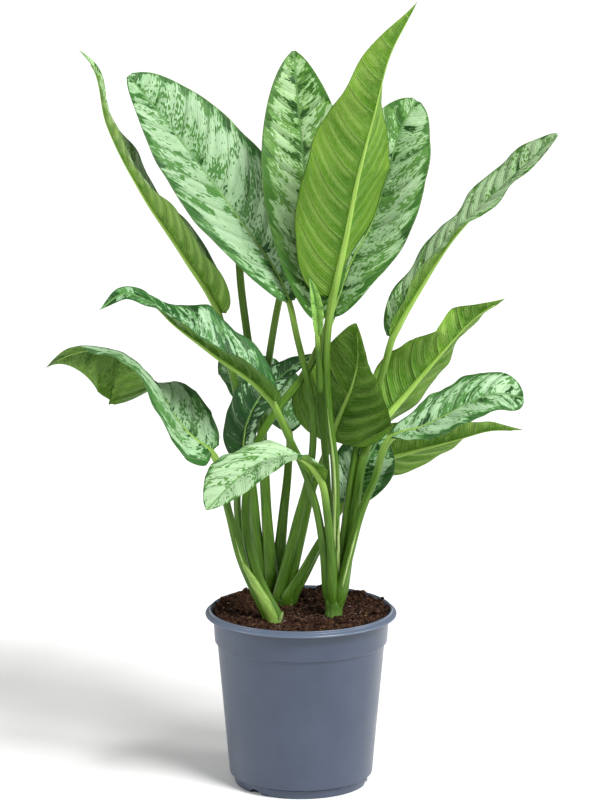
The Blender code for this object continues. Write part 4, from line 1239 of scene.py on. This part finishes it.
# The middle shoot: a cane nearly hidden in the soil, whose four petioles spread from its crown. It carries
# the large leaf at the upper left and three lower ones.
MIDDLE_CANE = {
    "axis": [(-15, 22, 146), (-15, 22, 165), (-15, 22, 175), (-15, 22, 184)],
    "radius": 8.0, "crown": 10.5, "pale": 0.0,
}
make_cane("cane_middle", MIDDLE_CANE)
make_leaf(
    "leaf_upper_left", MIDDLE_CANE,
    stalk=[(-22, 22, 185.3), (-15, 22, 215), (-4, 20, 262), (8, 14, 310), (12, 6, 350), (9, 1, 395),
        (-4, 2, 452)],
    rib=[(-12, 5, 487), (-67, 32, 573), (-112, 50, 630), (-150, 60, 678), (-170, 62, 702)],
    face=[(0.27, -0.9, 0.35), (0.27, -0.9, 0.35), (0.1, -0.8, 0.5)],
    fold=[(30, 20), (30, 14), (42, 6)],
    width=114, widest=0.48, point=0.52, wave=(2.5, 3.5, 0.3), girth=(4.0, 3.4), tone=(0.44, 0.15, 2.4),
)
make_leaf(
    "leaf_centre", MIDDLE_CANE,
    stalk=[(-13, 29, 185.6), (-7, 32, 212), (2, 36, 250), (10, 40, 285)],
    rib=[(29, 42, 337), (39, 26, 370), (50, 12, 400), (55, 4, 421), (56, -6, 445), (54, -13, 468)],
    face=[(0.3, 0.85, 0.45), (0.2, 0.85, 0.45), (0.1, 0.9, 0.4), (0.1, 0.9, 0.4)],
    fold=[(-50, 6), (-34, 4), (-22, 4), (-46, 20), (-66, 30), (-66, 20)],
    width=108, widest=0.36, point=0.66, heel=(2.0, 0.6), wave=(2.5, 3.0, 0.1), girth=(3.8, 3.8),
    tone=(0.3, 0.5, 12),
)
make_leaf(
    "leaf_right_inner", MIDDLE_CANE,
    stalk=[(-14, 14, 186.0), (-1, 15, 206), (16, 18, 236), (31, 22, 260)],
    rib=[(43, 26, 278), (56, 32, 300), (67, 40, 320), (76, 46, 336), (84, 50, 348)],
    face=[(0.2, -0.75, 0.55), (0.2, -0.75, 0.55), (0.2, -0.7, 0.6)],
    fold=[(14, 30), (10, 24), (8, 12)],
    width=64, widest=0.5, point=0.8, wave=(2.0, 2.5, 0.5), girth=(3.6, 3.2), tone=(0.05, 0.1, 16),
)
make_leaf(
    "leaf_right_lowest", MIDDLE_CANE,
    stalk=[(-8, 22, 186.1), (4, 28, 206), (20, 37, 236), (40, 58, 272)],
    rib=[(60, 77, 304), (103, 72, 319.5), (157, 46, 340), (188, 30, 352), (221, 12, 356)],
    face=[(-0.1, 0.75, 0.65), (-0.1, 0.75, 0.65), (0, 0.5, 0.85)],
    fold=[(-6, 36), (0, 24), (16, 16), (42, 14), (42, 12), (30, 12)],
    width=74, widest=0.36, point=1.0, wave=(2.0, 3.0, 0.2), girth=(3.6, 3.4), tone=(0.3, 0.9, 15),
)

# The right shoot: the stoutest cane, with a swollen ringed foot. It carries the tallest leaf, which shows
# its pale underside, a leaf still rolled beside it, and six more round them. Papery sheaths stand along two
# of its petioles.
RIGHT_CANE = {
    "axis": [(32, -21, 146), (32, -21, 170), (33, -20, 190), (33, -20, 203)],
    "radius": 8.5, "crown": 9.5, "pale": 0.15,
}
make_cane("cane_right", RIGHT_CANE)
make_leaf(
    "leaf_left_middle", RIGHT_CANE,
    stalk=[(26, -21, 204), (23, -27, 240), (16, -34, 285), (4, -37, 325), (-13, -40, 363)],
    rib=[(-28, -42, 396), (-88, -58, 449), (-124, -64, 478), (-145, -66, 498), (-170, -70, 506),
        (-193, -74, 492)],
    face=[(0.64, -0.1, 0.74), (0.64, -0.15, 0.74), (0.64, -0.15, 0.74), (0.5, 0.0, 0.85),
        (0.2, -0.5, 0.85)],
    fold=[(34, 18), (32, 30), (28, 36), (4, 4), (6, 6)],
    width=84, widest=0.36, point=1.0, wave=(3.0, 3.0, 0.4), girth=(3.3, 4.0), tone=(0.0, 0.0, 7),
)
make_leaf(
    "leaf_front_low", RIGHT_CANE,
    stalk=[(31, -27, 204), (30, -33, 240), (26, -38, 280)],
    rib=[(21, -42, 313), (-2, -74, 348), (-22, -102, 352), (-41, -132, 353), (-65, -164, 341),
        (-88, -186, 321)],
    face=[(0.1, 0.65, 0.65), (0.35, 0.4, 0.7), (0.25, -0.15, 0.9), (-0.1, -0.4, 0.85), (-0.3, -0.55, 0.75),
        (-0.35, -0.58, 0.68), (-0.4, -0.6, 0.6)],
    fold=[(-12, 14), (-4, 4), (8, 0), (20, -4), (20, -6), (16, -4), (12, 0)],
    width=90, widest=0.6, point=0.75, wave=(1.5, 2.5, 0.2), girth=(3.3, 3.6), tone=(0.7, 0.3, 9),
)
make_leaf(
    "leaf_top_centre", RIGHT_CANE,
    stalk=[(28, -14, 204), (28, -8, 250), (25, 3, 320), (21, 5, 370), (18, 4, 420)],
    rib=[(17, 4, 468), (10, 13, 546), (2, 23, 628), (-4, 35, 690), (-7, 48, 728)],
    face=[(0, -0.9, 0.3), (0, -0.9, 0.3), (0, -0.8, 0.5)],
    fold=[(30, 10), (22, 10), (14, 14)],
    width=92, widest=0.5, point=0.66, wave=(2.5, 3.0, 0.6), girth=(3.3, 3.6), tone=(0.22, 0.6, 3),
)
tallest = make_leaf(
    "leaf_top_front", RIGHT_CANE,
    stalk=[(34, -20, 204), (34, -16, 250), (33, -10, 330), (28, -8, 372), (25, -9, 415), (26, -10, 460)],
    rib=[(31, -12, 493), (43, -25, 553), (54, -42, 613), (70, -62, 680), (84, -80, 737), (109, -95, 788)],
    face=[(-0.45, 0.88, 0.12), (-0.45, 0.88, 0.12), (-0.45, 0.8, 0.3)],
    fold=[(44, 30), (30, 28), (24, 26), (50, 24), (62, 20), (60, 14)],
    width=106, widest=0.36, point=1.0, heel=(2.4, 0.6), wave=(3.0, 3.5, 0.0), girth=(3.3, 4.4),
    tone=(0.3, 0.9, 4),
)
make_leaf(
    "leaf_young", None,
    stalk=[(19.3, -7.5, 398), (17.5, -11, 430)],
    rib=[(16, -14, 455), (15, -18, 480), (12, -22, 500), (8, -24, 516)],
    face=[(0.2, -0.9, 0.2), (0.2, -0.9, 0.2)],
    fold=[(40, 40), (30, 30)],
    width=15, widest=0.45, point=0.9, wave=(0.0, 1.0, 0.0), girth=(2.4, 2.2), tone=(5.0, 1.0, 19),
)
make_leaf(
    "leaf_right_middle", RIGHT_CANE,
    stalk=[(42, -18, 204), (49, -8, 250), (56, 5, 295), (62, 16, 328)],
    rib=[(76, 30, 356), (101, 42, 383), (120, 44, 405), (140, 44, 428), (178, 38, 469), (202, 30, 485)],
    face=[(-0.33, 0.87, 0.38), (-0.33, 0.87, 0.38), (-0.3, 0.7, 0.6)],
    fold=[(30, 26), (30, 26), (28, 28), (30, 20), (36, -6), (40, -12), (36, 20), (24, 14), (16, 10)],
    width=82, widest=0.4, point=1.1, wave=(3.0, 4.0, 0.8), girth=(3.4, 4.8), tone=(0.3, 0.8, 13),
)
right_low = make_leaf(
    "leaf_right_low", RIGHT_CANE,
    stalk=[(39, -26, 204), (49, -28, 245), (60, -29, 285), (72, -29, 315)],
    rib=[(88, -28, 357), (118, -38, 370), (140, -44, 382), (166, -48, 397), (190, -50, 405),
        (216, -46, 400)],
    face=[(-0.35, -0.55, 0.75), (-0.35, -0.55, 0.75), (-0.1, -0.5, 0.85)],
    fold=[(0, 26), (0, 22), (-8, 20), (-8, 20), (12, 0)],
    width=84, widest=0.56, point=0.42, wave=(2.0, 3.0, 0.3), girth=(3.3, 3.8), tone=(0.32, 0.1, 14),
)
make_leaf(
    "leaf_right_high", RIGHT_CANE,
    stalk=[(36, -12, 204), (42, -4, 250), (48.5, 10, 300), (55, 21, 335), (62, 25, 365), (72, 24, 387),
        (81, 20, 415)],
    rib=[(90, 15, 449), (119, 14, 503), (145, 12, 544), (204, 4, 607), (241, -4, 644), (249, -6, 652)],
    face=[(-0.73, 0, 0.68), (-0.73, 0, 0.68), (-0.7, -0.1, 0.66), (-0.7, -0.12, 0.66)],
    fold=[(58, 26), (34, 22), (14, 14), (12, 4), (22, 2), (16, 0)],
    width=78, widest=0.52, point=0.52, heel=(0.45, 0.6), wave=(3.0, 4.0, 0.77), girth=(3.3, 4.2),
    tone=(0.55, 0.5, 6),
)
RIGHT_SHEATHS = [
    (beside(tallest, 0.03, 0.62, -15), -15, 1.9, 0.3),
    (beside(tallest, 0.0, 0.24, 40), 40, 3.0, 1.6),
    (beside(right_low, 0.02, 0.40, 10), 10, 1.6, 0.4),
]
make_sheaths("right_sheaths", RIGHT_SHEATHS)

low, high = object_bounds()
